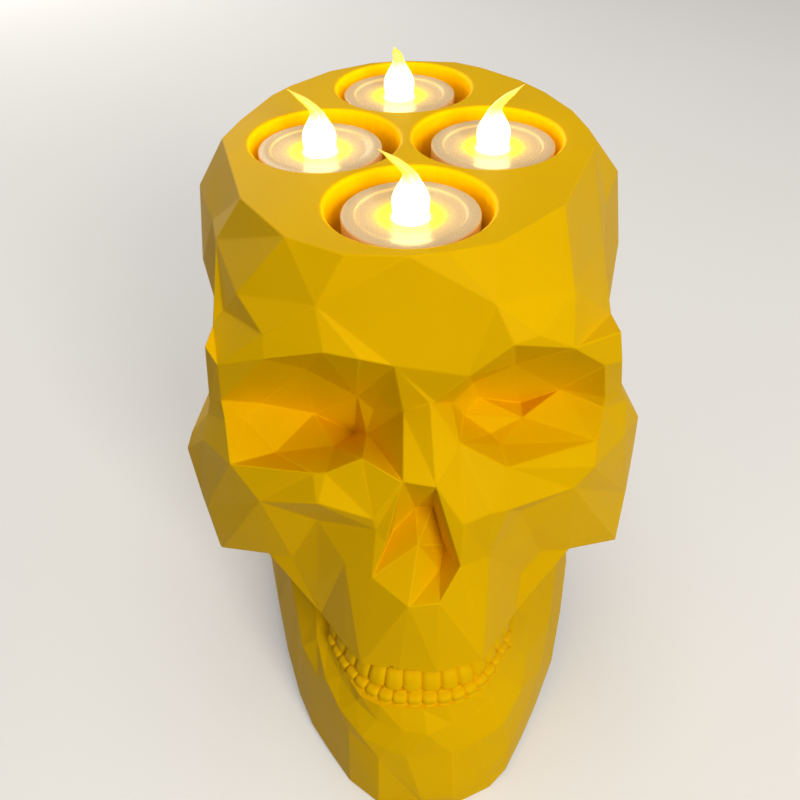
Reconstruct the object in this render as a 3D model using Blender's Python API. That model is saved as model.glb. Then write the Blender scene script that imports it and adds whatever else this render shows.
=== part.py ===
"""Skull candle holder: one facetted skull, cut flat on top, with four LED tea lights in round pockets.

Metres, +Z up. The skull faces -Y and rests on z = 0 with its chin and its nape.
Left and right are those of a person who looks at the face.
"""
import math
import random

import bmesh
import bpy
from mathutils import Matrix, Vector
from mathutils.geometry import delaunay_2d_cdt

MM = 0.001

# Clearance between neighbouring pieces
GAP = 0.0003

# Skull; its corners are listed for a top at SCULPTED_TOP, and only those above the cheeks follow TOP_HEIGHT
TOP_HEIGHT = 0.178
SCULPTED_TOP = 0.178
CHEEK_HEIGHT = 0.100
CRANIUM_HALF_WIDTH = 0.0685
CRANIUM_BACK = 0.100
CRANIUM_CENTRE = (0.0012, 0.030, 0.095)
NAPE_HALF_WIDTH = 0.036
NAPE_FRONT = 0.016
NAPE_BACK = 0.060
FACET_DRIFT = 0.0018
JAW_THICKNESS = 0.011
JAW_AXIS = (0.0015, -0.020)

# Point in front of the face, from which no facet of the face hides another
FACE_OUTLOOK = (-0.0033, -0.225, 0.280)
FACE_OUTLOOK_PITCH = math.radians(40.0)

# Pockets for the tea lights, on two equal triangles that share a side
POCKET_RADIUS = 0.022
POCKET_WEB = 0.0035
POCKET_CHAMFER = 0.0009
POCKET_LAYOUT_Y = 0.0142
CUT_MARGIN = 0.004

# Teeth: two rows along arches that are open to the back
UPPER_TEETH = 14
LOWER_TEETH = 18
TOOTH_DEPTH = 0.008
TOOTH_GROOVE = 0.0009
GUM_HEIGHT = 0.0575
BITE_HEIGHT = 0.050
TOOTH_SEAT = 0.0465
BITE_OVERLAP = 0.0003
UPPER_ROOT = 0.0055
UPPER_ROOT_INSET = 0.0048
UPPER_CROWN_INSET = 0.0009
LOWER_ROOT = 0.0025
LOWER_CROWN_BULGE = 0.0010
UPPER_ARCH_FRONT = -0.0886
LOWER_ARCH_FRONT = -0.0904
ARCH_DEPTH = 0.0235
ARCH_HALF_WIDTH = 0.0293
ARCH_POWER = 3.0

# Tea light
TEALIGHT_RADIUS = 0.01825
TEALIGHT_HEIGHT = 0.0173
TEALIGHT_SINK = 0.0024
SHELL_WALL = 0.0012
SHELL_DRAFT = 0.0004
DISC_RIM = 0.0034
DISC_STEP = 0.0006
DISC_DISH = 0.0006
FLAME_RADIUS = 0.0049
FLAME_HEIGHT = 0.0198
FLAME_LEAN = 0.0078
FLAME_WALL = 0.0008
FLAME_FLANGE = 0.0012
LED_RADIUS = 0.0025
LED_FLANGE = 0.0004
LED_FLANGE_THICKNESS = 0.0010
LED_HEIGHT = 0.0086
LED_LEAD = 0.0005
LED_LEAD_SPACING = 0.00254
BATTERY_RADIUS = 0.010
BATTERY_THICKNESS = 0.0032
CONTACT_THICKNESS = 0.0003
CONTACT_WIDTH = 0.0032
DOOR_THICKNESS = 0.0012
DOOR_OVERLAP = 0.0016
DOOR_RECESS = 0.0009
PLATE_THICKNESS = 0.0014
POST_WALL = 0.0014
SWITCH_TRAVEL = 0.0020
SWITCH_KNOB = 0.0030
SWITCH_DEPTH = 0.0022
SWITCH_FLANGE = 0.0082
FOOT_RECESS = 0.0003

# Outline of the flame: share of its height, then share of the bulb's radius
FLAME_OUTLINE = ((0.0, 0.93), (0.28, 1.0), (0.56, 0.74), (0.72, 0.34), (0.82, 0.30), (1.0, 0.05))
FLAME_BEND = 0.64

# How each tea light lies in its pocket: bearing of the flame's tip in degrees, then shift in x and y
TEALIGHT_PLACES = {
    "front": (180, 0.0004, -0.0004),
    "left": (180, -0.0016, -0.0006),
    "right": (0, 0.0017, -0.0004),
    "back": (-100, -0.0016, 0.0002),
}

ROUND_SEGMENTS = 36
SMALL_SEGMENTS = 16

# Values that follow from those above
POCKET_SPACING = 2 * POCKET_RADIUS + POCKET_WEB
POCKET_DEPTH = TEALIGHT_SINK + TEALIGHT_HEIGHT + GAP
POCKET_FLOOR = TOP_HEIGHT - POCKET_DEPTH
TRIANGLE_RISE = POCKET_SPACING * math.sqrt(3) / 2


def clear_scene():
    """Remove every object that the file starts with."""
    for old in list(bpy.data.objects):
        bpy.data.objects.remove(old, do_unlink=True)


def material(name, colour, roughness, metallic=0.0, emission=0.0):
    """Make a Principled material from a linear colour."""
    made = bpy.data.materials.new(name)
    made.use_nodes = True
    shader = made.node_tree.nodes["Principled BSDF"]
    shader.inputs["Base Color"].default_value = (*colour, 1.0)
    shader.inputs["Roughness"].default_value = roughness
    shader.inputs["Metallic"].default_value = metallic
    shader.inputs["Emission Color"].default_value = (*colour, 1.0)
    shader.inputs["Emission Strength"].default_value = emission
    made.diffuse_color = (*colour, 1.0)
    return made


def add_object(name, bm, finish, parent=None, smooth_angle=None):
    """Turn a bmesh into a named object with one material and faces that point out."""
    bmesh.ops.recalc_face_normals(bm, faces=bm.faces)
    mesh = bpy.data.meshes.new(name)
    bm.to_mesh(mesh)
    bm.free()
    made = bpy.data.objects.new(name, mesh)
    bpy.context.scene.collection.objects.link(made)
    if finish is not None:
        mesh.materials.append(finish)
    if smooth_angle is not None:
        mesh.shade_smooth()
        mesh.set_sharp_from_angle(angle=math.radians(smooth_angle))
    made.parent = parent
    return made


def add_tool(name, bm):
    """Add a solid that only joins or cuts another one."""
    tool = add_object(name, bm, None)
    tool.hide_render = True
    tool.display_type = "WIRE"
    return tool


def boolean(target, tool, operation):
    """Join a tool to the target, or cut it out, with the exact solver."""
    step = target.modifiers.new(tool.name, "BOOLEAN")
    step.operation = operation
    step.solver = "EXACT"
    step.object = tool


def loft(bm, sections):
    """Skin equal closed sections with triangles and cap the two ends."""
    rings = [[bm.verts.new(point) for point in section] for section in sections]
    count = len(rings[0])
    for ring, following in zip(rings, rings[1:]):
        for i in range(count):
            j = (i + 1) % count
            bm.faces.new((ring[i], ring[j], following[i]))
            bm.faces.new((ring[j], following[j], following[i]))
    bm.faces.new(rings[0])
    bm.faces.new(rings[-1])
    return bm


def turned(profile, segments, bm=None):
    """Turn a profile of (radius, height) about Z; a point on the axis is a single corner."""
    bm = bm or bmesh.new()
    rings = []
    for radius, height in profile:
        if radius == 0:
            rings.append([bm.verts.new((0, 0, height))])
            continue
        turns = [2 * math.pi * i / segments for i in range(segments)]
        rings.append([bm.verts.new((radius * math.cos(a), radius * math.sin(a), height)) for a in turns])
    pairs = list(zip(rings, rings[1:]))
    if profile[0][0] != 0:
        pairs.append((rings[-1], rings[0]))
    for lower, upper in pairs:
        for i in range(segments):
            j = (i + 1) % segments
            corners = [lower[i % len(lower)], lower[j % len(lower)], upper[j % len(upper)], upper[i % len(upper)]]
            unique = list(dict.fromkeys(corners))
            if len(unique) > 2:
                bm.faces.new(unique)
    return bm


def box(low, high, bm=None):
    """Add a box between two corners."""
    bm = bm or bmesh.new()
    centre = [(a + b) / 2 for a, b in zip(low, high)]
    size = [b - a for a, b in zip(low, high)]
    place = Matrix.Translation(centre) @ Matrix.Diagonal((*size, 1.0))
    bmesh.ops.create_cube(bm, size=1.0, matrix=place)
    return bm


def pocket_centres():
    """Give the four pocket centres by the name of their tea light."""
    return {
        "front": (0.0, POCKET_LAYOUT_Y - TRIANGLE_RISE),
        "left": (-POCKET_SPACING / 2, POCKET_LAYOUT_Y),
        "right": (POCKET_SPACING / 2, POCKET_LAYOUT_Y),
        "back": (0.0, POCKET_LAYOUT_Y + TRIANGLE_RISE),
    }


def pocket_reach(angle):
    """Give how far the four pockets reach from their middle; angle 0 looks to the front."""
    across = math.sin(angle)
    along = -math.cos(angle)
    reach = [x * across + (y - POCKET_LAYOUT_Y) * along for x, y in pocket_centres().values()]
    return max(reach) + POCKET_RADIUS


def top_rim():
    """Corners of the flat top, each by its angle and the wall outside the pockets in mm."""
    walls = [
        ("top_l0", -91.8, 8.4), ("top_l1", -50.1, 8.7), ("top_l2", -27.8, 6.5), ("top_l3", -13.2, 6.0),
        ("top_m", -0.5, 4.2), ("top_r4", 7.8, 3.7), ("top_r3", 18.7, 4.7), ("top_r2", 41.9, 6.4),
        ("top_r1", 82.0, 9.3), ("top_r0", 94.0, 8.4), ("top_br1", 109.0, 9.9), ("top_br2", 126.1, 9.8),
        ("top_br3", 138.8, 5.6), ("top_br4", 155.2, 3.6), ("top_back_r", 163.9, 3.8),
        ("top_back", 180.0, 2.2), ("top_back_l", -170.2, 2.0), ("top_bl4", -155.9, 2.0),
        ("top_bl3", -138.6, 4.2), ("top_bl2", -129.3, 7.3), ("top_bl1", -106.4, 7.9),
    ]
    corners = {}
    for name, degrees, wall in walls:
        angle = math.radians(degrees)
        radius = pocket_reach(angle) + wall * MM
        x = radius * math.sin(angle)
        y = POCKET_LAYOUT_Y - radius * math.cos(angle)
        corners[name] = Vector((x, y, SCULPTED_TOP))
    return corners


def forehead_points():
    """Forehead, temples and the two brows."""
    return {
        "fore_l": (-23, -56, 166.5), "glabella": (-4.5, -60, 151), "fore_r": (20, -56.5, 166.5),
        "side_l1": (-53, -18, 163.5), "side_l2": (-50, -36, 152.5), "notch_l": (-53, -38, 149),
        "temple_l": (-44.5, -42, 161.5), "brow_mid_l": (-37, -54, 157),
        "brow_tip_l": (-54, -46, 148), "rim_out_l": (-50.5, -50.5, 145), "rim_mid_l": (-37.5, -56, 151),
        "rim_peak_l": (-22, -60.5, 156), "rim_in_l": (-13, -61.5, 154.5),
        "side_r1": (54.5, -14, 159.5), "notch_r": (54, -36, 149), "temple_r": (41, -46, 163),
        "brow_peak_r": (31, -58.5, 158.5), "brow_tip_r": (54.5, -46, 150), "brow_low_r": (56, -47, 141),
        "rim_in_r": (14, -61.5, 148.5), "rim_peak_r": (24.5, -61, 157.5), "rim_mid_r": (40.5, -56, 152.5),
        "rim_out_r": (50.5, -50.5, 142.5), "nose_corner_r": (6, -59, 138.5), "nose_corner_l": (-2.5, -58, 134.5),
    }


def left_orbit_points():
    """Left eye socket, its floor and its lower rim."""
    return {
        "back_top_l": (-28, -50, 143), "back_mid_l": (-15, -46, 130), "wall_top_l": (-10.5, -49, 127.5),
        "wall_low_l": (-13, -48, 118), "back_low_l": (-17, -40, 111), "floor_back_l": (-28.5, -38, 117),
        "floor_out_l": (-43, -40, 123), "floor_tri_l": (-47.5, -44, 121), "floor_low_l": (-39, -50, 113),
        "floor_in_l": (-21.8, -52, 117), "lateral_l": (-52, -48, 123.5), "lateral_up_l": (-52.5, -46, 129.5),
        "rim_low_out_l": (-50.5, -57, 115.5), "rim_low_mid_l": (-27, -64, 118.5),
        "rim_low_turn_l": (-23.5, -65, 119.5), "rim_low_in_l": (-13.5, -66, 125.5),
    }


def right_orbit_points():
    """Right eye socket, its floor and its lower rim."""
    return {
        "wall_a_r": (11, -54, 134), "wall_b_r": (16.5, -48, 135.5), "wall_c_r": (18.5, -44, 127),
        "wall_d_r": (14, -50, 126), "back_top_r": (27, -50, 143), "back_out_r": (42, -40, 126),
        "floor_back_r": (31.5, -38, 119.5), "floor_mid_r": (31, -46, 121), "floor_in_r": (21.5, -52, 120.5),
        "lateral_r": (53.5, -46, 124), "lateral_up_r": (53.5, -46, 127.5), "floor_low_r": (24, -56, 120),
        "floor_out_r": (51, -52, 117), "rim_low_mid_r": (25, -65, 120), "rim_low_out_r": (50.5, -57, 111.5),
    }


def nose_points():
    """Nasal bone, its flanks, the aperture and what shows inside it."""
    return {
        "bone_top_r": (4.5, -59.5, 138.5), "bone_low_l": (-3, -72, 122.5), "bone_low_r": (5.5, -74, 122.5),
        "flank_top_r": (10.5, -55.5, 134.5), "flank_mid_r": (12, -64, 128.5), "flank_low_r": (13, -75, 109),
        "flank_low_l": (-11, -73, 109.5), "aperture_mid_l": (-8, -74, 100.5), "aperture_l": (-12, -76, 89),
        "aperture_low_l": (-2, -84, 86), "aperture_low_r": (6.5, -83, 86), "aperture_r": (12.5, -76, 93),
        "septum_top": (0.5, -62, 102), "septum_mid": (1, -72, 97.8), "inner_l": (-6, -66, 97),
        "inner_top_r": (5.5, -62, 102.5), "inner_r": (8.5, -64, 88), "inner_low_r": (7, -72, 86.5),
    }


def cheek_points():
    """Both cheekbones and the hollows under them."""
    return {
        "process_l": (-57.5, -40, 124.5), "process_low_l": (-59.5, -38, 117.5), "arch_top_l": (-68, -30, 103),
        "arch_l": (-70.5, -30, 96.5), "arch_low_l": (-68, -34, 80.5), "malar_corner_l": (-62.5, -44, 65),
        "malar_edge_l": (-61, -42, 111), "malar_edge_low_l": (-65, -40, 81), "malar_l": (-43.5, -60, 103.5),
        "malar_low_l": (-45, -54, 73.5), "malar_turn_l": (-37, -58, 76.5), "infra_l": (-26, -70, 113),
        "hollow_l": (-27.5, -62, 97.5), "canine_l": (-20, -70, 88.5), "canine_in_l": (-10.5, -72, 104.5),
        "jaw_wall_l": (-29.5, -64, 70.5),
        "process_r": (59, -42, 127), "process_low_r": (62.5, -38, 120), "arch_top_r": (69.5, -31, 107),
        "arch_r": (70.5, -30, 93.5), "arch_low_r": (68.5, -37, 80), "malar_corner_r": (66, -44, 65),
        "malar_edge_r": (62.5, -42, 109.5), "malar_r": (45, -60, 106.5), "malar_low_r": (48.5, -54, 73),
        "malar_turn_r": (38.5, -58, 77), "malar_notch_r": (35.5, -60, 74), "under_r": (29.5, -66, 104),
        "infra_out_r": (25, -71, 110), "infra_in_r": (20, -73, 111), "canine_r": (21, -72, 92.5),
        "jaw_wall_r": (32.5, -62, 71.5),
    }


def tooth_line_points():
    """Lower edge of the upper jaw, just over the teeth."""
    gum = GUM_HEIGHT / MM
    return {
        "gum_l4": (-29, -65.5, gum), "gum_l3": (-21.5, -76.5, gum), "gum_l2": (-16.5, -83, gum),
        "gum_l1": (-5, -85.5, gum), "gum_m": (6, -86.5, gum), "gum_r1": (11.5, -85, gum),
        "gum_r2": (20, -82.5, gum), "gum_r3": (26, -74, gum), "gum_r4": (31.5, -66, gum),
    }


# Edge of the face, from the left temple down round the cheek and the teeth and up to the right temple
FACE_EDGE = (
    "top_l1 side_l1 side_l2 notch_l brow_tip_l process_l process_low_l arch_top_l arch_l arch_low_l "
    "malar_corner_l malar_low_l malar_turn_l jaw_wall_l gum_l4 gum_l3 gum_l2 gum_l1 gum_m gum_r1 gum_r2 "
    "gum_r3 gum_r4 jaw_wall_r malar_notch_r malar_turn_r malar_low_r malar_corner_r arch_low_r arch_r "
    "arch_top_r process_low_r process_r brow_low_r brow_tip_r notch_r side_r1 top_r2"
).split()
FACE_TOP = "top_r2 top_r3 top_r4 top_m top_l3 top_l2 top_l1".split()

# Creases of the face: each line names the corners that a sharp edge runs through
FACE_CREASES = (
    "top_l2 fore_l glabella", "top_l3 fore_l", "temple_l side_l1", "temple_l side_l2",
    "temple_l fore_l brow_mid_l rim_out_l brow_tip_l",
    "rim_out_l rim_mid_l rim_peak_l rim_in_l glabella nose_corner_l", "brow_mid_l rim_mid_l",
    "fore_l rim_peak_l", "glabella nose_corner_r", "top_r3 fore_r glabella", "fore_r brow_peak_r rim_mid_r",
    "fore_r rim_peak_r", "fore_r temple_r side_r1", "temple_r brow_peak_r", "temple_r notch_r",
    "rim_mid_r brow_tip_r", "nose_corner_r rim_in_r rim_peak_r rim_mid_r rim_out_r lateral_up_r lateral_r",
    "rim_out_r brow_low_r", "brow_peak_r rim_peak_r", "top_r2 temple_r",
    "rim_out_l lateral_up_l lateral_l rim_low_out_l", "lateral_up_l process_l",
    "back_top_l back_mid_l wall_top_l", "back_mid_l wall_low_l", "rim_peak_l back_top_l",
    "back_top_l floor_back_l", "floor_out_l floor_back_l back_low_l wall_low_l wall_top_l nose_corner_l",
    "lateral_up_l floor_out_l floor_tri_l lateral_l", "floor_tri_l floor_low_l rim_low_out_l",
    "floor_back_l floor_in_l floor_low_l", "wall_low_l rim_low_in_l", "floor_in_l rim_low_turn_l",
    "rim_low_out_l rim_low_mid_l rim_low_turn_l rim_low_in_l flank_low_l", "rim_low_mid_l infra_l",
    "infra_l rim_low_turn_l flank_low_l", "infra_l malar_l rim_low_out_l", "rim_low_out_l malar_edge_l",
    "process_low_l malar_edge_l malar_edge_low_l malar_corner_l", "malar_edge_l arch_top_l",
    "malar_l malar_turn_l", "malar_l hollow_l jaw_wall_l", "malar_l malar_corner_l", "hollow_l canine_l",
    "hollow_l infra_l", "infra_l canine_in_l aperture_l canine_l", "flank_low_l canine_in_l",
    "canine_l gum_l2", "aperture_low_l gum_l2", "aperture_low_r gum_m", "aperture_low_r gum_r2",
    "nose_corner_l bone_low_l bone_low_r bone_top_r nose_corner_r", "bone_top_r flank_top_r",
    "nose_corner_r flank_top_r", "nose_corner_l bone_top_r",
    "bone_low_l aperture_mid_l aperture_l aperture_low_l aperture_low_r aperture_r bone_low_r",
    "inner_top_r septum_top septum_mid aperture_low_l", "septum_top inner_l aperture_l",
    "inner_l aperture_mid_l", "inner_top_r inner_r inner_low_r aperture_low_r", "inner_r aperture_r",
    "septum_mid inner_low_r", "flank_top_r flank_mid_r infra_in_r", "bone_low_r flank_low_r flank_mid_r",
    "flank_low_r aperture_r", "flank_mid_r rim_low_mid_r rim_low_out_r lateral_r",
    "nose_corner_r wall_a_r wall_b_r rim_in_r", "flank_top_r wall_a_r wall_d_r flank_mid_r",
    "wall_b_r wall_c_r wall_d_r", "wall_b_r back_top_r back_out_r", "wall_c_r floor_back_r back_out_r",
    "rim_peak_r back_top_r", "wall_d_r floor_mid_r floor_back_r", "wall_d_r floor_in_r floor_mid_r",
    "floor_in_r floor_low_r floor_out_r lateral_r", "back_out_r lateral_r", "floor_low_r rim_low_mid_r",
    "back_out_r lateral_up_r", "lateral_r process_r", "rim_low_out_r malar_edge_r process_low_r",
    "malar_edge_r arch_low_r", "rim_low_out_r malar_r malar_corner_r", "malar_r infra_out_r infra_in_r",
    "infra_in_r flank_low_r", "rim_low_mid_r infra_in_r", "infra_out_r under_r malar_r",
    "infra_in_r canine_r", "under_r malar_turn_r", "under_r canine_r aperture_r", "canine_r gum_r2",
    "canine_r gum_r4", "under_r jaw_wall_r",
)


def face_landmarks():
    """Every named corner of the face, in metres."""
    points = {}
    for region in (forehead_points, left_orbit_points, right_orbit_points, nose_points, cheek_points,
                   tooth_line_points):
        points.update({name: Vector(place) * MM for name, place in region().items()})
    return points


def crease_pairs(creases):
    """Split each crease into its single edges."""
    pairs = set()
    for crease in creases:
        names = crease.split()
        pairs.update(tuple(sorted(pair)) for pair in zip(names, names[1:]))
    return pairs


def triangulate(flat, border, pairs):
    """Fill a border with triangles that keep the creases; flat holds each corner's place in the plane."""
    names = list(flat)
    index = {name: i for i, name in enumerate(names)}
    edges = [(index[a], index[b]) for a, b in pairs]
    outline = [index[name] for name in border]
    result = delaunay_2d_cdt([Vector(flat[name]) for name in names], edges, [outline], 1, 1e-7)
    corners, faces, sources = result[0], result[2], result[3]
    if len(corners) != len(names):
        crossed = [tuple(round(c, 3) for c in corner) for corner, source in zip(corners, sources) if not source]
        raise ValueError(f"creases cross at {crossed}")
    origin = [names[source[0]] for source in sources]
    return [[origin[i] for i in face] for face in faces]


def face_plane(point):
    """Place a corner of the face as it is seen from the outlook."""
    ray = point - Vector(FACE_OUTLOOK)
    ahead = Vector((0, math.cos(FACE_OUTLOOK_PITCH), -math.sin(FACE_OUTLOOK_PITCH)))
    up = Vector((0, math.sin(FACE_OUTLOOK_PITCH), math.cos(FACE_OUTLOOK_PITCH)))
    depth = ray.dot(ahead)
    return (ray.x / depth, ray.dot(up) / depth)


def face_facets(points):
    """Triangles of the face between the flat top and the edge of the face."""
    border = FACE_EDGE + FACE_TOP[1:-1]
    inner = [name for name in points if not name.startswith("top_") or name in border]
    flat = {name: face_plane(points[name]) for name in inner}
    return triangulate(flat, border, crease_pairs(FACE_CREASES))


def cranium_points():
    """Corners of the sides, the back and the underside that no crease of the face names."""
    rng = random.Random(7)
    centre_x, centre_y, _ = CRANIUM_CENTRE
    rings = [
        (160, 0.95, 0.90, 60), (139, 1.0, 0.98, 78), (117, 0.99, 1.0, 60), (93, 0.90, 0.98, 80),
        (64, 0.78, 0.89, 78), (34, 0.62, 0.68, 84),
    ]
    points = {}
    for level, (height, width_share, back_share, first) in enumerate(rings):
        width = CRANIUM_HALF_WIDTH * width_share
        back = CRANIUM_BACK * back_share - centre_y
        steps = 5 - level // 3
        for side, sign in (("l", -1), ("r", 1)):
            for step in range(steps):
                angle = math.radians(first + (180 - first) * step / steps)
                bulge = Vector((centre_x + sign * width * math.sin(angle) ** 0.85,
                                centre_y - back * math.cos(angle), height * MM))
                drift = Vector([rng.uniform(-FACET_DRIFT, FACET_DRIFT) for _ in range(3)])
                points[f"ring{level}_{side}{step}"] = bulge + drift
        points[f"seam{level}"] = Vector((rng.uniform(-6, 6) * MM, centre_y + back, height * MM))
    return points


def underside_points():
    """Palate, the hollows behind the cheeks, the ear region and the throat."""
    return {
        "fossa_l": (-56.5, -22, 122), "fossa_r": (57.5, -22, 123), "bar_l": (-67, -8, 92),
        "bar_r": (67.5, -8, 93), "bar_low_l": (-62, -12, 78), "bar_low_r": (62.5, -12, 78),
        "ear_l": (-62, 12, 84), "ear_r": (62.5, 12, 85), "behind_cheek_l": (-46, -32, 66),
        "behind_cheek_r": (47, -32, 66), "palate_l": (-17, -52, 53), "palate_r": (19, -52, 53),
        "pterygoid_l": (-20, -26, 44), "pterygoid_r": (21, -26, 44), "mastoid_l": (-50, 14, 46),
        "mastoid_r": (50.5, 14, 46), "throat_l": (-20, 2, 24), "throat_r": (20, 2, 24),
    }


def nape_rim():
    """Corners of the flat patch that the nape rests on; angle 0 looks to the front."""
    corners = {}
    middle = (NAPE_FRONT + NAPE_BACK) / 2
    reach = (NAPE_BACK - NAPE_FRONT) / 2
    for i, degrees in enumerate(range(-140, 181, 40)):
        angle = math.radians(degrees)
        name = "nape_seam" if degrees == 180 else f"nape{i}"
        corners[name] = Vector((NAPE_HALF_WIDTH * math.sin(angle), middle - reach * math.cos(angle), 0.0))
    return corners


def cranium_plane(point):
    """Place a corner by its bearing and its height angle about the middle of the cranium."""
    away = point - Vector(CRANIUM_CENTRE)
    bearing = math.atan2(away.x, -away.y)
    return (bearing, math.atan2(away.z, math.hypot(away.x, away.y)))


def cranium_facets(points, rim, nape):
    """Triangles of the sides, back and underside, laid out flat from one seam at the back."""
    shared = {name: points[name] for name in FACE_EDGE}
    flat = {}
    for name, point in points.items():
        if name in shared or name.startswith(("ring", "seam", "top_", "nape")) or name in underside_points():
            flat[name] = cranium_plane(point)
    for name in FACE_TOP[1:-1]:
        flat.pop(name)
    seam = ["top_back"] + [name for name in flat if name.startswith("seam")] + ["nape_seam"]
    for name in seam:
        elevation = flat[name][1]
        flat[name] = (math.pi, elevation)
        flat["mirror_" + name] = (-math.pi, elevation)
    rim_names = list(rim)
    left_rim = rim_names[rim_names.index("top_back") + 1:] + ["top_l0"]
    right_rim = rim_names[rim_names.index("top_r2") + 1:rim_names.index("top_back")]
    nape_names = [name for name in nape if name != "nape_seam"]
    border = ["mirror_top_back"] + left_rim + FACE_EDGE + right_rim + seam + nape_names[::-1]
    border += ["mirror_" + name for name in seam[1:]][::-1]
    facets = triangulate(flat, border, [])
    return [[name.removeprefix("mirror_") for name in facet] for facet in facets]


def stretched(place):
    """Carry a listed corner to the real height of the top; nothing below the cheeks moves."""
    share = (TOP_HEIGHT - CHEEK_HEIGHT) / (SCULPTED_TOP - CHEEK_HEIGHT)
    lift = max(0.0, place.z - CHEEK_HEIGHT) * (share - 1)
    return place + Vector((0, 0, lift))


def skull_shell(finish):
    """Cranium, face and upper jaw as one closed facetted solid."""
    rim = top_rim()
    nape = nape_rim()
    points = {**rim, **face_landmarks(), **cranium_points(), **nape}
    points.update({name: Vector(place) * MM for name, place in underside_points().items()})
    bm = bmesh.new()
    corner = {name: bm.verts.new(stretched(place)) for name, place in points.items()}
    facets = face_facets({**rim, **face_landmarks()}) + cranium_facets(points, rim, nape)
    facets += [list(rim), list(nape)]
    for facet in facets:
        bm.faces.new([corner[name] for name in facet])
    return add_object("skull", bm, finish)


def jaw_sections():
    """Outer corners of the lower jaw, section by section from the left ramus to the right one, in mm.

    Each section runs up the outside: lower border, lower crease, upper crease, ledge and tooth seat.
    """
    return [
        ((-55, 16, 84), (-59, 6, 88), (-57, -6, 90), (-52, -12, 90), (-46, -12, 88)),
        ((-56, 4, 48), (-58, -8, 56), (-53, -22, 64), (-46, -27, 66), (-40, -26, 62)),
        ((-54, -14, 22), (-50, -24, 46), (-42, -35, 57), (-36, -38, 58), (-31, -37, 55)),
        ((-50.5, -29, 12), (-43, -38, 44.5), (-33.5, -46, 52), (-30, -49, 52), (-27.5, -50, 50)),
        ((-46.5, -44.5, 7), (-39.5, -52, 41.5), (-32, -58, 47.5), (-29.5, -60, 47.5), (-26.5, -62, 48)),
        ((-41, -61, 4), (-37, -63.5, 38), (-31.5, -66, 44.5), (-28, -69, 45), (-25, -73, 47)),
        ((-36, -71.5, 2), (-31.5, -73, 34.5), (-28.5, -77, 39.5), (-23.5, -78.5, 43.5), (-22, -79, 46.5)),
        ((-29.5, -81, 1), (-26.5, -81, 31), (-24, -85, 35.5), (-18.5, -86, 42), (-17, -87, 46.5)),
        ((-22.5, -90.5, 0), (-21.5, -88, 29), (-17.5, -92, 32), (-12, -91.5, 40), (-11, -90.5, 46.5)),
        ((-13, -98, 0), (-12, -95.5, 24), (-9.5, -95.5, 30), (-4.5, -94.5, 39), (-5, -91.5, 46.5)),
        ((3, -100, 0), (1, -99.7, 6), (-3.5, -97, 27.5), (3, -95.5, 38), (2, -92, 46.5)),
        ((13, -98.5, 0), (11, -98.8, 5), (10.5, -95.5, 27), (11, -92.5, 38.5), (9, -91, 46.5)),
        ((24, -93.5, 0), (22, -93.5, 8), (18.5, -92.5, 27.5), (17, -89.5, 40), (15.5, -88.5, 46.5)),
        ((29.5, -88.5, 1), (30, -87.5, 15), (27, -88, 29.5), (22, -86, 42), (20.5, -85, 46.5)),
        ((36.5, -77, 2), (37, -76, 20), (34, -78, 33), (27, -79, 43.5), (24.5, -80.5, 46.5)),
        ((42.5, -66, 3), (42, -66, 25), (36.5, -68, 37), (31, -70, 45), (28.5, -71, 47.5)),
        ((50, -51, 7), (46.5, -52, 30), (38.5, -56, 41), (33, -58, 48), (29.5, -60, 49)),
        ((55.5, -33, 12), (51, -34, 36), (41.5, -41, 48), (34, -46, 52.5), (30, -49, 50)),
        ((59, -18, 22), (54.5, -22, 46), (46, -33, 57), (38, -37, 58), (33.5, -37, 55)),
        ((59, 4, 48), (60, -8, 56), (55, -22, 64), (48, -27, 66), (42, -26, 62)),
        ((57, 16, 84), (60.5, 6, 88), (58, -6, 90), (53, -12, 90), (47, -12, 88)),
    ]


def inward(point, distance):
    """Move a point level towards the upright axis of the jaw."""
    away = Vector((point.x - JAW_AXIS[0], point.y - JAW_AXIS[1], 0.0))
    return point - away.normalized() * min(distance, away.length)


def lower_jaw():
    """Lower jaw with its two rami, lofted from end to end."""
    sections = []
    for outside in jaw_sections():
        outer = [Vector(place) * MM for place in outside]
        inner = [inward(outer[-1], JAW_THICKNESS * 0.8), inward(outer[0], JAW_THICKNESS)]
        sections.append(outer + inner)
    return loft(bmesh.new(), sections)


def arch(front):
    """Points of a row of teeth, seen from above, close enough together to measure along."""
    steps = 60
    points = []
    for i in range(-steps, steps + 1):
        share = i / steps
        x = JAW_AXIS[0] + ARCH_HALF_WIDTH * share
        points.append(Vector((x, front + ARCH_DEPTH * abs(share) ** ARCH_POWER, 0.0)))
    return points


def arch_station(points, share):
    """Find the place and the outward direction at a share of the arch's length."""
    lengths = [(b - a).length for a, b in zip(points, points[1:])]
    target = share * sum(lengths)
    for start, end, length in zip(points, points[1:], lengths):
        if target <= length:
            break
        target -= length
    run = (end - start).normalized()
    return start + run * target, Vector((run.y, -run.x, 0.0))


def tooth_row(count, front, outline):
    """One row of teeth as a strip whose front steps in between the crowns.

    The outline is the front of a tooth from its buried root to its free tip, each point by how far
    it lies behind the arch and by its height.
    """
    points = arch(front)
    shares = [0.0]
    for tooth in range(count):
        shares += [(tooth + step) / count for step in (0.28, 0.72, 1.0)]
    sections = []
    for i, share in enumerate(shares):
        grooved = i % 3 == 0 and 0 < i < len(shares) - 1
        sections.append(tooth_section(points, share, outline, TOOTH_GROOVE if grooved else 0.0))
    return loft(bmesh.new(), sections)


def tooth_section(points, share, outline, groove):
    """Cut through the row at one place of the arch: front from root to tip, then the back."""
    place, outward = arch_station(points, share)
    section = [place - outward * (inset + groove) + Vector((0, 0, height)) for inset, height in outline]
    for _, height in (outline[-1], outline[0]):
        section.append(place - outward * TOOTH_DEPTH + Vector((0, 0, height)))
    return section


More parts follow.
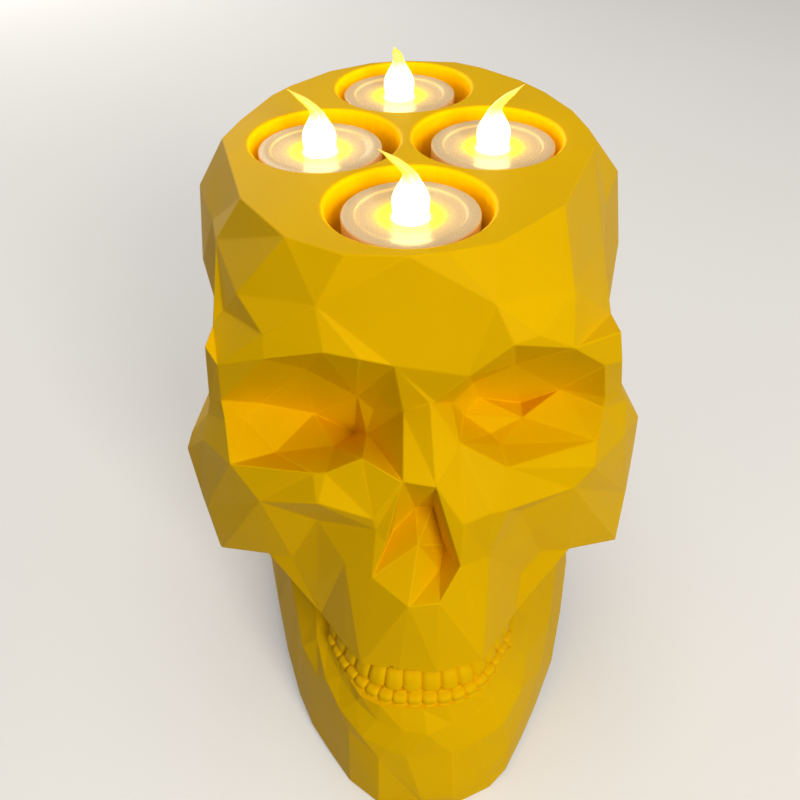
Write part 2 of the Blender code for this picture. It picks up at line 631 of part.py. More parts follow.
def upper_teeth():
    """Upper row, from inside the upper jaw down to the bite."""
    crown = BITE_HEIGHT + (GUM_HEIGHT - BITE_HEIGHT) * 0.55
    root = GUM_HEIGHT + UPPER_ROOT
    outline = ((UPPER_ROOT_INSET, root), (UPPER_CROWN_INSET, crown), (0.0, BITE_HEIGHT))
    return tooth_row(UPPER_TEETH, UPPER_ARCH_FRONT, outline)


def lower_teeth():
    """Lower row, from inside the lower jaw up to the bite."""
    crown = TOOTH_SEAT + (BITE_HEIGHT - TOOTH_SEAT) * 0.35
    outline = ((0.0, TOOTH_SEAT - LOWER_ROOT), (-LOWER_CROWN_BULGE, crown), (0.0, BITE_HEIGHT + BITE_OVERLAP))
    return tooth_row(LOWER_TEETH, LOWER_ARCH_FRONT, outline)


def pocket_cutters():
    """Four turned cutters, each with the small chamfer of its pocket's edge."""
    bm = bmesh.new()
    profile = [
        (0, POCKET_FLOOR), (POCKET_RADIUS, POCKET_FLOOR), (POCKET_RADIUS, TOP_HEIGHT - POCKET_CHAMFER),
        (POCKET_RADIUS + POCKET_CHAMFER, TOP_HEIGHT), (POCKET_RADIUS + POCKET_CHAMFER, TOP_HEIGHT + CUT_MARGIN),
        (0, TOP_HEIGHT + CUT_MARGIN),
    ]
    for x, y in pocket_centres().values():
        before = set(bm.verts)
        turned(profile, ROUND_SEGMENTS, bm)
        bmesh.ops.translate(bm, verts=[v for v in bm.verts if v not in before], vec=(x, y, 0))
    return bm


def build_skull():
    """The printed skull: shell, lower jaw and teeth as one body, with the pockets cut in."""
    finish = material("yellow_print", (0.95, 0.56, 0.0), 0.45)
    skull = skull_shell(finish)
    boolean(skull, add_tool("lower_jaw_form", lower_jaw()), "UNION")
    boolean(skull, add_tool("upper_teeth_form", upper_teeth()), "UNION")
    boolean(skull, add_tool("lower_teeth_form", lower_teeth()), "UNION")
    boolean(skull, add_tool("pocket_cutters", pocket_cutters()), "DIFFERENCE")


# Heights inside a tea light, counted from its foot
DOOR_BASE = FOOT_RECESS + DOOR_RECESS
DOOR_TOP = DOOR_BASE + DOOR_THICKNESS
BATTERY_BASE = DOOR_TOP + GAP
BATTERY_TOP = BATTERY_BASE + BATTERY_THICKNESS
UPPER_CONTACT_BASE = BATTERY_TOP + GAP
BAY_CEILING = UPPER_CONTACT_BASE + CONTACT_THICKNESS + GAP
BAY_TOP = BAY_CEILING + PLATE_THICKNESS
PLATE_BASE = DOOR_TOP + GAP
PLATE_TOP = PLATE_BASE + PLATE_THICKNESS
DISC_HEIGHT = TEALIGHT_HEIGHT - DISC_STEP - DISC_DISH
FLAME_FLANGE_TOP = DISC_HEIGHT - SHELL_WALL - GAP
FLAME_FLANGE_BASE = FLAME_FLANGE_TOP - FLAME_WALL
LED_BASE = FLAME_FLANGE_BASE - LED_FLANGE_THICKNESS - GAP
POST_TOP = LED_BASE - GAP

# Radii inside a tea light
SHELL_INNER = TEALIGHT_RADIUS - SHELL_WALL
SIDE_CONTACT_RADIUS = BATTERY_RADIUS + GAP
BAY_RADIUS = SIDE_CONTACT_RADIUS + CONTACT_THICKNESS + GAP
BAY_OUTER = BAY_RADIUS + SHELL_WALL
DOOR_RADIUS = BAY_RADIUS + DOOR_OVERLAP
LEAD_HOLE = LED_LEAD_SPACING / 2 + LED_LEAD + GAP
POST_RADIUS = LEAD_HOLE + POST_WALL
SWITCH_RADIUS = DOOR_RADIUS + GAP + SWITCH_DEPTH / 2 + GAP


def shell_mesh():
    """White cup: open foot, side wall, stepped rim and a dished disc with the flame's hole."""
    hole = FLAME_RADIUS + GAP
    step = TEALIGHT_RADIUS - DISC_RIM
    edge = SHELL_WALL * 0.5
    profile = [
        (TEALIGHT_RADIUS - SHELL_DRAFT, 0.0), (TEALIGHT_RADIUS, TEALIGHT_HEIGHT - edge),
        (TEALIGHT_RADIUS - edge * 0.3, TEALIGHT_HEIGHT - edge * 0.3), (TEALIGHT_RADIUS - edge, TEALIGHT_HEIGHT),
        (step, TEALIGHT_HEIGHT), (step - DISC_STEP, TEALIGHT_HEIGHT - DISC_STEP), (hole, DISC_HEIGHT),
        (hole, DISC_HEIGHT - SHELL_WALL), (step - SHELL_WALL, TEALIGHT_HEIGHT - DISC_STEP - SHELL_WALL),
        (SHELL_INNER, TEALIGHT_HEIGHT - SHELL_WALL), (SHELL_INNER - SHELL_DRAFT, 0.0),
    ]
    return turned(profile, ROUND_SEGMENTS)


def flame_radius(share):
    """Radius of the flame at a share of its height, smooth through the outline's points."""
    for (low, wide), (high, narrow) in zip(FLAME_OUTLINE, FLAME_OUTLINE[1:]):
        if share <= high:
            break
    step = (share - low) / (high - low)
    return FLAME_RADIUS * (wide + (narrow - wide) * step * step * (3 - 2 * step))


def flame_lean(share):
    """Sideways offset of the flame's middle line at a share of its height."""
    return FLAME_LEAN * max(0.0, (share - FLAME_BEND) / (1 - FLAME_BEND)) ** 1.4


def flame_mesh():
    """Hollow flame with a flange at its foot, leaning to +X at the tip."""
    bm = bmesh.new()
    flange = FLAME_RADIUS + FLAME_FLANGE
    outside = [(flange, FLAME_FLANGE_BASE, 0), (flange, FLAME_FLANGE_TOP, 0)]
    steps = 16
    for i in range(steps + 1):
        share = i / steps
        height = FLAME_FLANGE_TOP + share * FLAME_HEIGHT
        outside.append((flame_radius(share), height, flame_lean(share)))
    inside = []
    for i in range(6, -1, -1):
        share = 0.5 * i / 6
        height = FLAME_FLANGE_BASE if i == 0 else FLAME_FLANGE_TOP + share * FLAME_HEIGHT
        inside.append((flame_radius(share) - FLAME_WALL, height, flame_lean(share)))
    rings = []
    for radius, height, lean in outside + inside:
        turns = [2 * math.pi * i / SMALL_SEGMENTS for i in range(SMALL_SEGMENTS)]
        rings.append([bm.verts.new((lean + radius * math.cos(a), radius * math.sin(a), height)) for a in turns])
    split = len(outside)
    for lower, upper in zip(rings, rings[1:] + rings[:1]):
        if lower is rings[split - 1]:
            continue
        for i in range(SMALL_SEGMENTS):
            j = (i + 1) % SMALL_SEGMENTS
            bm.faces.new((lower[i], lower[j], upper[j], upper[i]))
    bm.faces.new(rings[split - 1])
    bm.faces.new(rings[split][::-1])
    return bm


def led_mesh():
    """Round lamp with a flange and a dome."""
    flange = LED_RADIUS + LED_FLANGE
    flange_top = LED_BASE + LED_FLANGE_THICKNESS
    shoulder = LED_BASE + LED_HEIGHT - LED_RADIUS
    profile = [(0, LED_BASE), (flange, LED_BASE), (flange, flange_top), (LED_RADIUS, flange_top)]
    profile += [(LED_RADIUS * math.cos(a), shoulder + LED_RADIUS * math.sin(a))
                for a in (0.0, math.pi / 6, math.pi / 3)]
    profile.append((0, LED_BASE + LED_HEIGHT))
    return turned(profile, 16)


def lead_mesh():
    """Two leads that run from inside the lamp's flange down through the post."""
    bm = bmesh.new()
    half = LED_LEAD / 2
    for x in (-LED_LEAD_SPACING / 2, LED_LEAD_SPACING / 2):
        box((x - half, -half, BAY_CEILING), (x + half, half, LED_BASE + LED_LEAD), bm)
    return bm


def chassis_mesh():
    """Base ring, battery bay and the post under the lamp, turned in one piece."""
    outer = SHELL_INNER - SHELL_DRAFT - GAP
    profile = [
        (BAY_RADIUS, PLATE_BASE), (outer, PLATE_BASE), (outer, PLATE_TOP), (BAY_OUTER, PLATE_TOP),
        (BAY_OUTER, BAY_TOP), (POST_RADIUS, BAY_TOP), (POST_RADIUS, POST_TOP), (LEAD_HOLE, POST_TOP),
        (LEAD_HOLE, BAY_CEILING), (BAY_RADIUS, BAY_CEILING),
    ]
    return turned(profile, ROUND_SEGMENTS)


def switch_slot(name, place):
    """Cutter for the slot that the switch slides in, with its travel on the -X side."""
    low = (-SWITCH_KNOB / 2 - SWITCH_TRAVEL - GAP, SWITCH_RADIUS - SWITCH_DEPTH / 2 - GAP, PLATE_BASE - CUT_MARGIN)
    high = (SWITCH_KNOB / 2 + GAP, SWITCH_RADIUS + SWITCH_DEPTH / 2 + GAP, PLATE_TOP + CUT_MARGIN)
    tool = add_tool(name + "_slot", box(low, high))
    tool.parent = place
    return tool


def switch_mesh():
    """Slider with a knob through the slot and a long flange over it."""
    bm = bmesh.new()
    half, wing = SWITCH_KNOB / 2, SWITCH_FLANGE / 2
    base, top = FOOT_RECESS, PLATE_TOP + GAP
    outline = [(-half, base), (half, base), (half, top), (wing, top), (wing, top + DOOR_THICKNESS),
               (-wing, top + DOOR_THICKNESS), (-wing, top), (-half, top)]
    face = bm.faces.new([bm.verts.new((x, -SWITCH_DEPTH / 2, z)) for x, z in outline])
    grown = bmesh.ops.extrude_face_region(bm, geom=[face])
    moved = [item for item in grown["geom"] if isinstance(item, bmesh.types.BMVert)]
    bmesh.ops.translate(bm, verts=moved, vec=(0, SWITCH_DEPTH, 0))
    return bm


def build_tealight(name, centre, lean_degrees, finishes):
    """One LED tea light, resting in the pocket with that centre."""
    place = bpy.data.objects.new(name + "_light", None)
    bpy.context.scene.collection.objects.link(place)
    place.location = (centre[0], centre[1], POCKET_FLOOR + GAP)

    add_object(name + "_shell", shell_mesh(), finishes["shell"], place, 35)
    flame = add_object(name + "_flame", flame_mesh(), finishes["flame"], place, 50)
    flame.rotation_euler.z = math.radians(lean_degrees)
    led = add_object(name + "_led", led_mesh(), finishes["led"], place, 40)
    leads = add_tool(name + "_leads", lead_mesh())
    leads.parent = place
    boolean(led, leads, "UNION")

    chassis = add_object(name + "_chassis", chassis_mesh(), finishes["chassis"], place, 35)
    boolean(chassis, switch_slot(name, place), "DIFFERENCE")

    battery = [(0, BATTERY_BASE), (BATTERY_RADIUS, BATTERY_BASE), (BATTERY_RADIUS, BATTERY_TOP), (0, BATTERY_TOP)]
    add_object(name + "_battery", turned(battery, SMALL_SEGMENTS + 8), finishes["steel"], place, 35)

    half = CONTACT_WIDTH / 2
    reach = BATTERY_RADIUS * 0.7
    strip = box((-reach, -half, UPPER_CONTACT_BASE), (reach, half, UPPER_CONTACT_BASE + CONTACT_THICKNESS))
    add_object(name + "_upper_contact", strip, finishes["brass"], place)
    side = box((SIDE_CONTACT_RADIUS, -half / 2, BATTERY_BASE),
               (SIDE_CONTACT_RADIUS + CONTACT_THICKNESS, half / 2, BATTERY_TOP))
    add_object(name + "_side_contact", side, finishes["brass"], place)

    door = [(0, DOOR_BASE), (DOOR_RADIUS, DOOR_BASE), (DOOR_RADIUS, DOOR_TOP), (0, DOOR_TOP)]
    add_object(name + "_battery_door", turned(door, SMALL_SEGMENTS + 8), finishes["chassis"], place, 35)

    switch = add_object(name + "_switch", switch_mesh(), finishes["switch"], place)
    switch.location = (0, SWITCH_RADIUS, 0)


def build_tealights():
    """The four tea lights, each lying a little off the middle of its pocket."""
    finishes = {
        "shell": material("ivory_plastic", (0.80, 0.76, 0.66), 0.4),
        "flame": material("lit_flame", (1.0, 0.78, 0.25), 0.3, emission=2.0),
        "led": material("lamp_resin", (1.0, 0.85, 0.5), 0.2),
        "chassis": material("white_plastic", (0.82, 0.82, 0.80), 0.5),
        "steel": material("battery_steel", (0.62, 0.62, 0.64), 0.3, metallic=1.0),
        "brass": material("contact_brass", (0.72, 0.55, 0.26), 0.35, metallic=1.0),
        "switch": material("black_plastic", (0.02, 0.02, 0.02), 0.5),
    }
    for name, (x, y) in pocket_centres().items():
        lean, shift_x, shift_y = TEALIGHT_PLACES[name]
        build_tealight(name, (x + shift_x, y + shift_y), lean, finishes)


def main():
    """Build the whole object."""
    clear_scene()
    build_skull()
    build_tealights()
    bpy.context.view_layer.update()


main()
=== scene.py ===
"""Looks of the skull candle holder: a yellow printed skull with four lit battery tea lights.

Everything is in metres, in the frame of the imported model: +Z up, and the face looks to -Y.
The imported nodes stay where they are. The skull's skin, the cups and the flames are finer pieces
that stand for their nodes, and every other node only gets its finish.
"""

import logging
import math
from collections.abc import Callable, Sequence
from dataclasses import dataclass
from enum import Enum

import bmesh
import bpy
from mathutils import Matrix, Vector
from mathutils.bvhtree import BVHTree


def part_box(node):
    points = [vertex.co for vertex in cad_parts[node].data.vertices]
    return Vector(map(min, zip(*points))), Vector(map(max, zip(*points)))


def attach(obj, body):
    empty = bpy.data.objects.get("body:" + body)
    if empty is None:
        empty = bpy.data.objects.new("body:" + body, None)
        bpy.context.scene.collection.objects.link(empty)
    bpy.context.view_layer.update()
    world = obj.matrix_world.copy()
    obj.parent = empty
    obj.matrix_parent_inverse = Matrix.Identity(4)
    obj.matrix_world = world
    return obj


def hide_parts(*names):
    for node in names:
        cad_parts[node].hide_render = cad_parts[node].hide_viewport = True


LOG = logging.getLogger("skull_scene")

RGB = tuple[float, float, float]
Stops = tuple[tuple[float, RGB], ...]
Feed = bpy.types.NodeSocket | float | Sequence[float]
MM = 0.001
HOLDER_BODY = "holder"
TOUCHING = 0.01 * MM
JAW_MIDDLE = 1.5 * MM
BLACK = (0.0, 0.0, 0.0, 1.0)

# Camera, solved from the round discs and the flat top in the photograph
PHOTO_WIDTH_PX = 800
FOCAL_LENGTH_PX = 850
SENSOR_WIDTH_MM = 36.0
CAMERA_PLACE = Vector((-0.0033, -0.225, 0.280))
CAMERA_PITCH = math.radians(40.29)
CAMERA_ROLL = math.radians(-1.10)

# Corners of the upper jaw over the front teeth, in mm, and the facets between them
UPPER_JAW_CORNERS = (
    (-29, -65.5, 57.5), (-21.5, -76.5, 57.5), (-16.5, -83, 57.5), (-5, -85.5, 57.5), (6, -86.5, 57.5),
    (11.5, -85, 57.5), (20, -82.5, 57.5), (26, -74, 57.5), (31.5, -66, 57.5),
    (-29.5, -64, 70.5), (-20, -70, 88.5), (-2, -84, 86), (6.5, -83, 86), (21, -72, 92.5), (32.5, -62, 71.5),
)
UPPER_JAW_FACETS = (
    (3, 11, 2), (9, 0, 10), (12, 4, 5), (12, 5, 6), (13, 8, 14), (11, 3, 4), (4, 12, 11), (7, 8, 13), (6, 7, 13),
    (1, 2, 10), (0, 1, 10), (2, 11, 10), (6, 13, 12),
)

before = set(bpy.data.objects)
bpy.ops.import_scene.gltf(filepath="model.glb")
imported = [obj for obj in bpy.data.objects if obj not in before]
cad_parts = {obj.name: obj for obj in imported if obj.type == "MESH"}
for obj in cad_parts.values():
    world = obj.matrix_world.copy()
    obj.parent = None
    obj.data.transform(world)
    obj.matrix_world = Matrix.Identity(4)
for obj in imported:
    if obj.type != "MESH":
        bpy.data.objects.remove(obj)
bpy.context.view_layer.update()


class Spot(Enum):
    """Where a tea light stands, in the word that its nodes' names start with."""

    FRONT = "front"
    LEFT = "left"
    RIGHT = "right"
    BACK = "back"

    def node(self, piece: str) -> str:
        """Name the CAD node of one piece of this tea light.

        Args:
            piece: the piece, such as "shell".

        Returns:
            The node's name.
        """
        return f"{self.value}_{piece}"


class Wiring:
    """Adds nodes to one node tree and feeds their sockets."""

    def __init__(self, tree: bpy.types.NodeTree) -> None:
        """Keep the tree that the nodes go into."""
        self.tree = tree

    def add(self, kind: str, feeds: dict[str | int, Feed] | None = None, **settings: object) -> bpy.types.Node:
        """Add one node.

        Args:
            kind: the node's Blender type.
            feeds: input name or number to a socket that drives it or a constant.
            settings: the node's own options.

        Returns:
            The new node.
        """
        node = self.tree.nodes.new(kind)
        for name, value in settings.items():
            setattr(node, name, value)
        for name, value in (feeds or {}).items():
            self.feed(node.inputs[name], value)
        return node

    def feed(self, socket: bpy.types.NodeSocket, value: Feed) -> None:
        """Link a socket to another one, or set its constant.

        Args:
            socket: the input.
            value: an output socket or a constant.
        """
        if isinstance(value, bpy.types.NodeSocket):
            self.tree.links.new(value, socket)
        else:
            socket.default_value = value

    def maths(self, operation: str, *values: Feed, clamp: bool = False) -> bpy.types.NodeSocket:
        """Add one sum.

        Args:
            operation: Blender's name of the sum.
            values: its inputs, sockets or numbers.
            clamp: keep the result between 0 and 1.

        Returns:
            The result's socket.
        """
        feeds = dict(enumerate(values))
        return self.add("ShaderNodeMath", feeds, operation=operation, use_clamp=clamp).outputs[0]

    def remap(self, value: Feed, low: float, high: float, to_low: float, to_high: float) -> bpy.types.NodeSocket:
        """Carry a value from one range to another, clamped and with soft ends.

        Args:
            value: the socket to carry over.
            low: start of its range.
            high: end of its range.
            to_low: result at the start.
            to_high: result at the end.

        Returns:
            The result's socket.
        """
        feeds = {"Value": value, "From Min": low, "From Max": high, "To Min": to_low, "To Max": to_high}
        return self.add("ShaderNodeMapRange", feeds, interpolation_type="SMOOTHSTEP").outputs["Result"]

    def seen(self) -> bpy.types.NodeSocket:
        """Tell rays that are seen, straight or mirrored, from those that carry light onto the object.

        Returns:
            The socket: 1 for a seen ray, otherwise 0.
        """
        ray = self.add("ShaderNodeLightPath")
        straight = self.maths("MAXIMUM", ray.outputs["Is Camera Ray"], ray.outputs["Is Glossy Ray"])
        return self.maths("MAXIMUM", straight, ray.outputs["Is Transmission Ray"])

    def ramp(self, share: Feed, stops: Stops) -> bpy.types.NodeSocket:
        """Add a colour ramp.

        Args:
            share: the socket that runs along it.
            stops: pairs of place and colour.

        Returns:
            The colour's socket.
        """
        node = self.add("ShaderNodeValToRGB", {"Fac": share})
        elements = node.color_ramp.elements
        while len(elements) < len(stops):
            elements.new(1.0)
        for element, (place, colour) in zip(elements, stops):
            element.position = place
            element.color = (*colour, 1.0)
        return node.outputs["Color"]

    def blend(self, share: Feed, first: Feed, second: Feed) -> bpy.types.NodeSocket:
        """Mix two colours.

        Args:
            share: how much of the second one shows, from 0 to 1.
            first: colour at 0, as a socket or as RGBA.
            second: colour at 1, as a socket or as RGBA.

        Returns:
            The colour's socket.
        """
        node = self.add("ShaderNodeMix", {"Factor": share}, data_type="RGBA")
        self.feed(node.inputs[6], first)
        self.feed(node.inputs[7], second)
        return node.outputs[2]


class Effect(Enum):
    """Node groups that several finishes share. They give only tones, masks and normals."""

    PRINT_LAYERS = "print_layers"
    FINE_GRAIN = "fine_grain"
    RADIAL_SHARE = "radial_share"
    HEIGHT_SHARE = "height_share"


class Effects:
    """Makes each shared node group once and adds it to materials."""

    def __init__(self) -> None:
        """Start with no node group made."""
        self._makers: dict[Effect, Callable[[], bpy.types.NodeTree]] = {
            Effect.PRINT_LAYERS: self._print_layers,
            Effect.FINE_GRAIN: self._fine_grain,
            Effect.RADIAL_SHARE: self._radial_share,
            Effect.HEIGHT_SHARE: self._height_share,
        }
        self._made: dict[Effect, bpy.types.NodeTree] = {}

    def use(self, wiring: Wiring, effect: Effect, feeds: dict[str, Feed] | None = None) -> bpy.types.Node:
        """Add a shared effect to a material.

        Args:
            wiring: the material's wiring.
            effect: which effect.
            feeds: input name to a socket or a constant.

        Returns:
            The group node.
        """
        if effect not in self._made:
            self._made[effect] = self._makers[effect]()
        node = wiring.add("ShaderNodeGroup", node_tree=self._made[effect])
        for name, value in (feeds or {}).items():
            wiring.feed(node.inputs[name], value)
        return node

    @staticmethod
    def _open(effect: Effect, inputs: dict[str, float], outputs: dict[str, str],
              ) -> tuple[bpy.types.NodeTree, Wiring, bpy.types.Node, bpy.types.Node]:
        """Start a node group with its sockets.

        Args:
            effect: the effect, which names the group.
            inputs: input name to its usual value.
            outputs: output name to its socket type.

        Returns:
            The tree, its wiring, its input node and its output node.
        """
        tree = bpy.data.node_groups.new(effect.value, "ShaderNodeTree")
        for name, value in inputs.items():
            socket = tree.interface.new_socket(name, in_out="INPUT", socket_type="NodeSocketFloat")
            socket.default_value = value
        for name, kind in outputs.items():
            tree.interface.new_socket(name, in_out="OUTPUT", socket_type=kind)
        wiring = Wiring(tree)
        return tree, wiring, wiring.add("NodeGroupInput"), wiring.add("NodeGroupOutput")

    def _print_layers(self) -> bpy.types.NodeTree:
        """Fine level lines of a printed wall, uneven from layer to layer and along each one.

        Returns:
            The node group.
        """
        tree, wiring, given, result = self._open(
            Effect.PRINT_LAYERS, {"Pitch": 0.2 * MM, "Depth": 0.01 * MM},
            {"Tone": "NodeSocketFloat", "Normal": "NodeSocketVector"})
        place = wiring.add("ShaderNodeTexCoord").outputs["Object"]
        height = wiring.add("ShaderNodeSeparateXYZ", {0: place}).outputs["Z"]
        turns = wiring.maths("DIVIDE", height, given.outputs["Pitch"])
        wave = wiring.maths("SINE", wiring.maths("MULTIPLY", turns, 2 * math.pi))
        drift = wiring.add("ShaderNodeTexNoise", {"Vector": place, "Scale": 60.0, "Detail": 2.0})
        layer = wiring.add("ShaderNodeTexNoise", {"W": wiring.maths("MULTIPLY", turns, 0.9), "Scale": 1.0},
                           noise_dimensions="1D")
        uneven = wiring.maths("MULTIPLY", wave, wiring.remap(drift.outputs["Fac"], 0.3, 0.7, 0.35, 1.0))
        tone = wiring.maths("ADD", wiring.maths("MULTIPLY", uneven, 0.5), layer.outputs["Fac"])
        bump = wiring.add("ShaderNodeBump", {"Height": tone, "Distance": given.outputs["Depth"], "Strength": 1.0})
        wiring.feed(result.inputs["Tone"], tone)
        wiring.feed(result.inputs["Normal"], bump.outputs["Normal"])
        return tree

    def _fine_grain(self) -> bpy.types.NodeTree:
        """Matt skin of a moulded or printed surface: a fine grain over slow waves.

        Returns:
            The node group.
        """
        tree, wiring, given, result = self._open(
            Effect.FINE_GRAIN, {"Scale": 2500.0, "Depth": 0.01 * MM, "Waves": 45.0},
            {"Tone": "NodeSocketFloat", "Drift": "NodeSocketFloat", "Height": "NodeSocketFloat",
             "Normal": "NodeSocketVector"})
        place = wiring.add("ShaderNodeTexCoord").outputs["Object"]
        fine = wiring.add("ShaderNodeTexNoise", {"Vector": place, "Scale": given.outputs["Scale"], "Detail": 3.0})
        slow = wiring.add("ShaderNodeTexNoise", {"Vector": place, "Scale": given.outputs["Waves"], "Detail": 2.0})
        height = wiring.maths("ADD", fine.outputs["Fac"], wiring.maths("MULTIPLY", slow.outputs["Fac"], 2.0))
        bump = wiring.add("ShaderNodeBump", {"Height": height, "Distance": given.outputs["Depth"]})
        wiring.feed(result.inputs["Tone"], fine.outputs["Fac"])
        wiring.feed(result.inputs["Drift"], slow.outputs["Fac"])
        wiring.feed(result.inputs["Height"], height)
        wiring.feed(result.inputs["Normal"], bump.outputs["Normal"])
        return tree

    def _radial_share(self) -> bpy.types.NodeTree:
        """Share of the way out from the object's own Z axis, from 0 at Inner to 1 at Outer.

        Returns:
            The node group.
        """
        tree, wiring, given, result = self._open(
            Effect.RADIAL_SHARE, {"Inner": 0.0, "Outer": 1.0}, {"Share": "NodeSocketFloat"})
        place = wiring.add("ShaderNodeTexCoord").outputs["Object"]
        flat = wiring.add("ShaderNodeVectorMath", {0: place, 1: (1.0, 1.0, 0.0)}, operation="MULTIPLY")
        radius = wiring.add("ShaderNodeVectorMath", {0: flat.outputs[0]}, operation="LENGTH").outputs["Value"]
        run = wiring.maths("SUBTRACT", given.outputs["Outer"], given.outputs["Inner"])
        share = wiring.maths("DIVIDE", wiring.maths("SUBTRACT", radius, given.outputs["Inner"]), run, clamp=True)
        wiring.feed(result.inputs["Share"], share)
        return tree

    def _height_share(self) -> bpy.types.NodeTree:
        """Share of the way up in the object's own Z, from 0 at Low to 1 at High.

        Returns:
            The node group.
        """
        tree, wiring, given, result = self._open(
            Effect.HEIGHT_SHARE, {"Low": 0.0, "High": 1.0}, {"Share": "NodeSocketFloat"})
        place = wiring.add("ShaderNodeTexCoord").outputs["Object"]
        height = wiring.add("ShaderNodeSeparateXYZ", {0: place}).outputs["Z"]
        run = wiring.maths("SUBTRACT", given.outputs["High"], given.outputs["Low"])
        share = wiring.maths("DIVIDE", wiring.maths("SUBTRACT", height, given.outputs["Low"]), run, clamp=True)
        wiring.feed(result.inputs["Share"], share)
        return tree


@dataclass(frozen=True)
class Finish:
    """A surface finish.

    Args:
        name: the material's name.
        colour: base colour, linear.
        roughness: middle roughness.
    """

    name: str
    colour: RGB
    roughness: float

    def build(self, effects: Effects) -> bpy.types.Material:
        """Make the material.

        Args:
            effects: the shared node groups.

        Returns:
            The material.
        """
        made = bpy.data.materials.new(self.name)
        made.use_nodes = True
        made.diffuse_color = (*self.colour, 1.0)
        wiring = Wiring(made.node_tree)
        shader = made.node_tree.nodes["Principled BSDF"]
        shader.inputs["Roughness"].default_value = self.roughness
        self.wire(wiring, shader, effects)
        LOG.info("finish %s", self.name)
        return made

    def wire(self, wiring: Wiring, shader: bpy.types.Node, effects: Effects) -> None:
        """Feed the shader. Each kind of finish has its own way.

        Args:
            wiring: the material's wiring.
            shader: its Principled shader.
            effects: the shared node groups.
        """
        raise NotImplementedError

    def tinted(self, wiring: Wiring, tone: Feed, spread: float) -> bpy.types.NodeSocket:
        """Vary the base colour with a tone.

        Args:
            wiring: the material's wiring.
            tone: the tone's socket, about 0.5 in the middle.
            spread: how far the colour goes to either side, as a share.

        Returns:
            The colour's socket.
        """
        dark = tuple(c * (1.0 - spread) for c in self.colour)
        light = tuple(min(1.0, c * (1.0 + spread)) for c in self.colour)
        return wiring.blend(wiring.remap(tone, 0.3, 0.7, 0.0, 1.0), (*dark, 1.0), (*light, 1.0))


@dataclass(frozen=True)
class PrintedPlastic(Finish):
    """Satin printed plastic with faint layers, in which a little light scatters, and with the flames' light painted
    on the pocket walls as a glow.

    Args:
        layer_pitch: height of one layer.
        layer_depth: how deep the layers' lines are.
        scatter: share of light that scatters under the skin.
        painted_glow_middles: middles of the flames whose light is painted on the pockets, in X and Y.
        painted_glow_radius: how far from those middles their walls lie at most.
        painted_glow_top: height of the pockets' edge.
        painted_glow_depth: depth at which the painted glow has died away.
        painted_glow_colour: colour of the flames' light painted on the walls as emission, linear.
    """

    layer_pitch: float = 0.2 * MM
    layer_depth: float = 0.006 * MM
    scatter: float = 0.12
    painted_glow_middles: tuple[tuple[float, float], ...] = ()
    painted_glow_radius: float = 24.6 * MM
    painted_glow_top: float = 0.0
    painted_glow_depth: float = 12.0 * MM
    painted_glow_colour: RGB = (0.52, 0.20, 0.0)

    def wire(self, wiring: Wiring, shader: bpy.types.Node, effects: Effects) -> None:
        """Wire the layers, the grain over them, the scattered light and the painted glow on the pocket walls.

        Args:
            wiring: the material's wiring.
            shader: its Principled shader.
            effects: the shared node groups.
        """
        layers = effects.use(wiring, Effect.PRINT_LAYERS, {"Pitch": self.layer_pitch, "Depth": self.layer_depth})
        grain = effects.use(wiring, Effect.FINE_GRAIN, {"Scale": 1400.0, "Waves": 28.0, "Depth": 0.012 * MM})
        skin = wiring.add("ShaderNodeBump", {"Height": grain.outputs["Height"], "Distance": 0.012 * MM,
                                             "Normal": layers.outputs["Normal"]})
        rough = wiring.remap(grain.outputs["Drift"], 0.3, 0.7, self.roughness - 0.05, self.roughness + 0.05)
        wiring.feed(shader.inputs["Base Color"], self.tinted(wiring, grain.outputs["Drift"], 0.025))
        wiring.feed(shader.inputs["Roughness"], rough)
        wiring.feed(shader.inputs["Normal"], skin.outputs["Normal"])
        # Painted light: this emission paints the flames' glow on the pocket walls.
        wiring.feed(shader.inputs["Emission Color"], self._painted_flame_glow(wiring))
        shader.inputs["Emission Strength"].default_value = 1.0
        shader.inputs["Subsurface Weight"].default_value = self.scatter
        shader.inputs["Subsurface Radius"].default_value = (1.0, 0.45, 0.1)
        shader.inputs["Subsurface Scale"].default_value = 1.6 * MM
        shader.inputs["Specular IOR Level"].default_value = 0.06
        shader.inputs["Specular Tint"].default_value = (1.0, 0.80, 0.25, 1.0)

    def _painted_flame_glow(self, wiring: Wiring) -> bpy.types.NodeSocket:
        """Paint the flames' light onto the pocket walls as emission, strongest just under the pockets' edge and
        fading with depth.

        Args:
            wiring: the material's wiring.

        Returns:
            The painted glow's colour.
        """
        place = wiring.add("ShaderNodeTexCoord").outputs["Object"]
        flat = wiring.add("ShaderNodeVectorMath", {0: place, 1: (1.0, 1.0, 0.0)}, operation="MULTIPLY").outputs[0]
        nearest = 1.0
        for x, y in self.painted_glow_middles:
            away = wiring.add("ShaderNodeVectorMath", {0: flat, 1: (x, y, 0.0)}, operation="DISTANCE")
            nearest = wiring.maths("MINIMUM", nearest, away.outputs["Value"])
        height = wiring.add("ShaderNodeSeparateXYZ", {0: place}).outputs["Z"]
        inside = wiring.remap(nearest, self.painted_glow_radius - 0.8 * MM, self.painted_glow_radius, 1.0, 0.0)
        shallow = wiring.remap(height, self.painted_glow_top - self.painted_glow_depth, self.painted_glow_top, 0.0, 1.0)
        under = wiring.remap(height, self.painted_glow_top - 0.3 * MM, self.painted_glow_top - 0.05 * MM, 1.0, 0.0)
        share = wiring.maths("MULTIPLY", wiring.maths("MULTIPLY", inside, shallow), under)
        return wiring.blend(share, BLACK, (*self.painted_glow_colour, 1.0))


